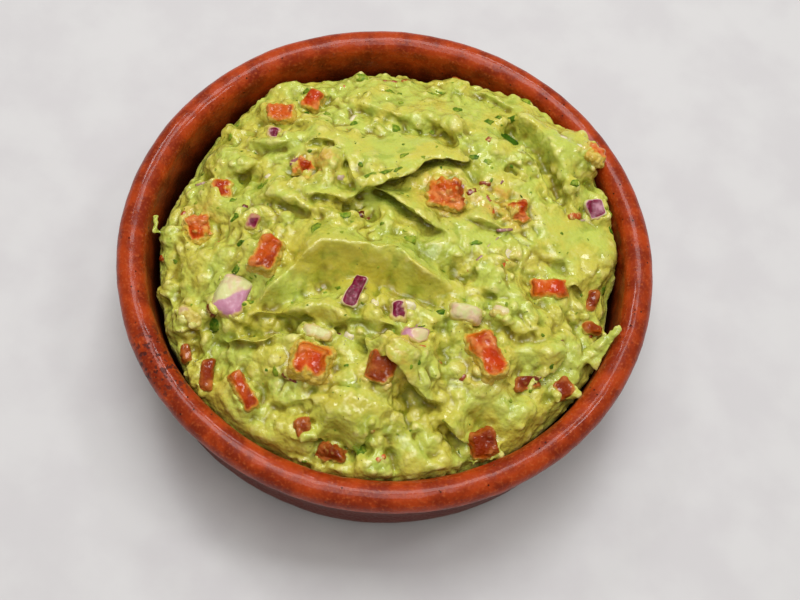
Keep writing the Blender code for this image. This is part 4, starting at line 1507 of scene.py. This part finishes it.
# %% Herbs
# Leaves in their own places: x, y, length, width, turn and how light the green is.
LEAVES = (
    (31, 43.5, 10.5, 6.5, 70, -0.25), (34.5, 60, 5.0, 2.6, -60, 0.7), (-31, 47.5, 6.5, 1.5, -45, 0.3),
    (-33.5, 50, 3.0, 1.6, 100, 0.2), (66, 2, 3.6, 1.8, 50, 0.3), (-42, -17.5, 3.4, 1.5, 25, 0.2),
    (-45.5, -33, 4.5, 3.0, -50, 0.1), (-36, -26.5, 3.0, 1.6, -15, 0.5), (-31.5, -21.5, 3.0, 1.2, 35, 0.5),
    (-42.5, -9, 2.6, 2.0, 80, 0.0), (-21.5, -3, 4.5, 2.0, 75, 0.4), (-40.5, 11.5, 3.0, 2.2, 20, 0.3),
    (-54, 29.5, 3.2, 1.4, 15, 0.7), (-53.5, 37, 4.0, 1.2, 35, 0.5), (-48, 6, 2.0, 1.2, 0, 0.5),
    (-46, -1, 3.4, 1.0, 75, 0.2), (-17, 38, 2.2, 1.4, 20, 0.4), (-25.5, 39.5, 1.8, 1.2, 0, 0.5),
    (-17.5, 58.5, 4.0, 2.4, -15, 0.6), (-8, 53.5, 3.0, 1.8, -35, 0.6), (-4, 49.5, 1.8, 1.4, 0, 0.6),
    (5, 57, 4.5, 0.9, -8, 0.5), (8, 58, 3.5, 0.8, 15, 0.5), (13.5, 49.5, 3.0, 1.4, 10, 0.4),
    (24, 47.5, 3.0, 2.4, 60, 0.2), (26.5, 49.5, 2.0, 1.4, 0, 0.2), (31, 50.5, 2.6, 1.2, 50, 0.2),
    (20.5, 31.5, 3.0, 1.6, 25, 0.1), (-5, 17, 7.0, 0.8, 35, 0.3), (-1, 19.5, 4.0, 0.7, 55, 0.3),
    (-9, 15.5, 4.0, 0.7, 20, 0.4), (-12, 19.5, 1.8, 1.4, 0, 0.4), (0, 25.5, 2.2, 1.2, 60, 0.5),
    (-4, 38.5, 2.6, 2.2, 60, 0.5), (7, 40.5, 1.8, 1.2, 80, 0.5), (25, 30.5, 2.2, 1.2, 0, 0.7),
    (65.5, 25.5, 5.0, 2.0, -65, 0.9), (65.5, 19.5, 2.4, 1.0, -50, 0.1), (52, 28.5, 4.0, 2.2, 20, 0.4),
    (57, 47, 3.0, 1.8, -50, 0.8), (18, -21, 2.8, 1.8, -20, 0.0), (12.5, -27.5, 4.0, 1.6, 5, 0.0),
    (33, -25, 4.2, 2.0, -75, 0.2), (-12, -18.5, 2.4, 1.4, -40, 0.3), (25, 2, 3.5, 0.8, 10, 0.6),
    (-14, 3, 5.0, 2.0, 5, 0.5), (2, -62.5, 4.5, 3.0, -50, 0.4), (-13, -68, 1.2, 0.8, 0, 0.1),
    (-25, -46, 3.0, 1.2, 80, 0.4), (51.5, -30, 1.8, 1.2, 0, 0.2), (6, -1, 4.0, 2.4, 0, 0.8),
)


def mix_herb():
    """Dark to light green by the tone of the leaf, with paste smeared on the light ones."""
    herb = Finish("chopped coriander", Coat_Roughness=0.2, Coat_Weight=0.05, Specular_IOR_Level=0.1,
                  Subsurface_Weight=0.1, Subsurface_Radius=(0.4, 1.0, 0.2), Subsurface_Scale=0.6 * MM)
    where = own_place(herb)
    mottle = cloud(herb, where, 1.2 * MM)
    green = mix(herb, noted(herb, "tone"), paint(52, 92, 10), paint(122, 154, 40))
    cover = step(herb, mottle, 0.42, 0.58) * (noted(herb, "tone") + 0.3)
    green = mix(herb, cover * 0.8, green, paint(160, 172, 52))
    return herb.wear(Base_Color=green, Roughness=mottle * 0.3 + 0.3, Normal=bump(herb, mottle, 0.2 * MM, 0.6))


# The least, the most and the usual length, width and thickness in millimetres, and how deep they sink.
SHRED = ((0.4, 1.8, 0.6), (0.3, 0.9, 0.5), (0.3, 0.6, 0.4), (0.2, 0.6))
leaves = by_hand(LEAVES, 0.6, 0.25) + by_chance(170, 21, *SHRED)
strew("coriander_leaves", leaf_shape(), leaves, mix_herb(), "crushed_avocado", 0.9, draped=True)

# %% Crumbs of tomato and onion
# Crumbs in their own places, as for the leaves, with how dark or how purple they are. The darkest tomato
# crumbs lie in holes and under overhangs, and their dark red is partly painted shade.
TOMATO_CRUMBS = (
    (18.5, 20, 3.4, 2.6, -40, 0.8), (29, 14, 3.4, 2.2, 60, 0.4), (21.5, 19, 3.0, 2.0, 30, 0.8),
    (-24, 17, 3.0, 2.4, 40, 0.1), (-10.5, 6.5, 3.6, 2.6, 10, 1.0), (-7.5, 6.0, 3.0, 2.2, 60, 0.9),
    (54, 20, 5.0, 2.2, 20, 0.3), (34, -3, 3.6, 2.4, 25, 0.2), (25, 22.5, 3.4, 1.6, 10, 0.7),
    (27, 18, 3.0, 1.8, -30, 0.6), (24.5, 39, 3.0, 2.0, 70, 0.6), (-4, 62, 3.0, 2.0, 0, 0.4),
    (0.5, 66, 4.0, 2.0, -20, 0.4), (12, 66, 2.4, 2.6, 60, 0.5), (-9, 59.5, 6.0, 1.8, 15, 0.6),
    (27, -38.5, 2.6, 1.8, 70, 0.7),
    (20, -35, 1.6, 1.2, 0, 0.5), (14, -33, 3.5, 1.8, -10, 0.3), (-20, -47, 6.0, 2.0, -10, 0.9),
    (4.5, -58.5, 1.4, 1.2, 0, 0.5), (8, -64.5, 3.2, 1.4, 40, 0.2), (-6, -18, 4.0, 0.8, -5, 0.6),
    (-63, 2, 2.2, 1.6, 30, 0.5), (-66, -12, 2.6, 1.8, -30, 0.6), (62, -15, 3.0, 2.0, -10, 0.7),
    (-47, -31, 4.0, 2.6, -50, 0.95), (-43.5, 3.5, 2.0, 1.6, 0, 0.95), (-10, -31.5, 4.0, 2.0, -20, 1.0),
    (30, 24, 2.0, 1.2, 60, 0.9), (47, -33.5, 6.0, 2.0, 15, 0.95),
)
ONION_CRUMBS = (
    (-18, 40.5, 3.6, 2.0, 70, 0.0), (34.5, 1.5, 4.0, 3.0, 60, 0.15), (-29.5, 21.5, 2.6, 1.6, 80, 0.0),
    (-17.5, 15.5, 2.6, 2.0, 0, 0.5), (-39, 14.5, 2.0, 1.6, 40, 0.0), (-34.5, 14, 2.0, 1.4, 0, 0.0),
    (-1, -22, 2.2, 3.0, 0, 0.05), (8.5, -22.5, 3.2, 4.0, 80, 0.0), (-6.5, -32.5, 3.0, 2.0, -20, 0.1),
    (33, 8.5, 5.0, 0.9, 15, 0.8), (30, 4, 6.0, 0.6, 55, 0.6), (26.5, -2.5, 3.0, 1.0, 50, 0.8),
    (-59.5, 13, 3.5, 0.9, 20, 0.7), (-32, 20, 4.0, 1.8, 75, 0.9), (56, 20, 3.0, 1.0, 30, 0.5),
    (47, 44, 2.6, 1.8, 0, 0.0), (52, 42, 2.0, 1.6, 0, 0.0), (56.5, -33.0, 2.6, 2.0, 30, 0.5),
)
CRUMB = ((0.7, 1.6, 0.9), (0.6, 1.2, 0.8), (0.6, 1.0, 0.8), (0.4, 0.7))


def mix_crumb(name, under, over):
    """From the one colour to the other by the tone of the crumb, with smears of paste."""
    crumb = Finish(name, Coat_Roughness=0.08, Coat_Weight=0.6, Subsurface_Weight=0.15,
                   Subsurface_Radius=(1.0, 0.5, 0.3), Subsurface_Scale=0.7 * MM)
    where = own_place(crumb)
    mottle = cloud(crumb, where, 1.2 * MM)
    colour = mix(crumb, noted(crumb, "tone"), under, over)
    colour = mix(crumb, step(crumb, mottle, 0.52, 0.66) * 0.75, colour, PALE_PASTE)
    return crumb.wear(Base_Color=colour, Roughness=mottle * 0.3 + 0.15,
                      Normal=bump(crumb, mottle, 0.3 * MM, 0.6))


# The dark end of the tomato crumbs' tone is partly painted shade, for the crumbs in holes and under
# overhangs.
strew("tomato_crumbs", crumb_shape(), by_hand(TOMATO_CRUMBS, 1.6, 0.45) + by_chance(12, 22, *CRUMB),
      mix_crumb("crumbs of tomato", paint(214, 96, 28), paint(96, 24, 6)), "tomato", 0.35)
strew("onion_crumbs", crumb_shape(), by_hand(ONION_CRUMBS, 1.3, 0.4) + by_chance(12, 23, *CRUMB),
      mix_crumb("crumbs of red onion", paint(226, 216, 176), paint(128, 30, 66)), "red_onion", 0.3)

# %% Pepper
GRAIN = ((0.2, 0.5, 0.3), (0.2, 0.45, 0.3), (0.2, 0.35, 0.25), (0.0, 0.3))


def mix_pepper():
    """Brown to nearly black, and dull."""
    pepper = Finish("ground pepper")
    speckle = cloud(pepper, own_place(pepper), 0.6 * MM)
    colour = mix(pepper, speckle, paint(30, 24, 12), paint(74, 66, 22))
    return pepper.wear(Base_Color=colour, Roughness=speckle * 0.3 + 0.35)


strew("pepper", grain_shape(), by_chance(200, 24, *GRAIN), mix_pepper(), "crushed_avocado", 0.0)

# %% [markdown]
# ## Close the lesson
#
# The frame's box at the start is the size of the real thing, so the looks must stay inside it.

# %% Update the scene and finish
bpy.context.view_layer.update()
print("seconds:", round(time.time() - started, 1))
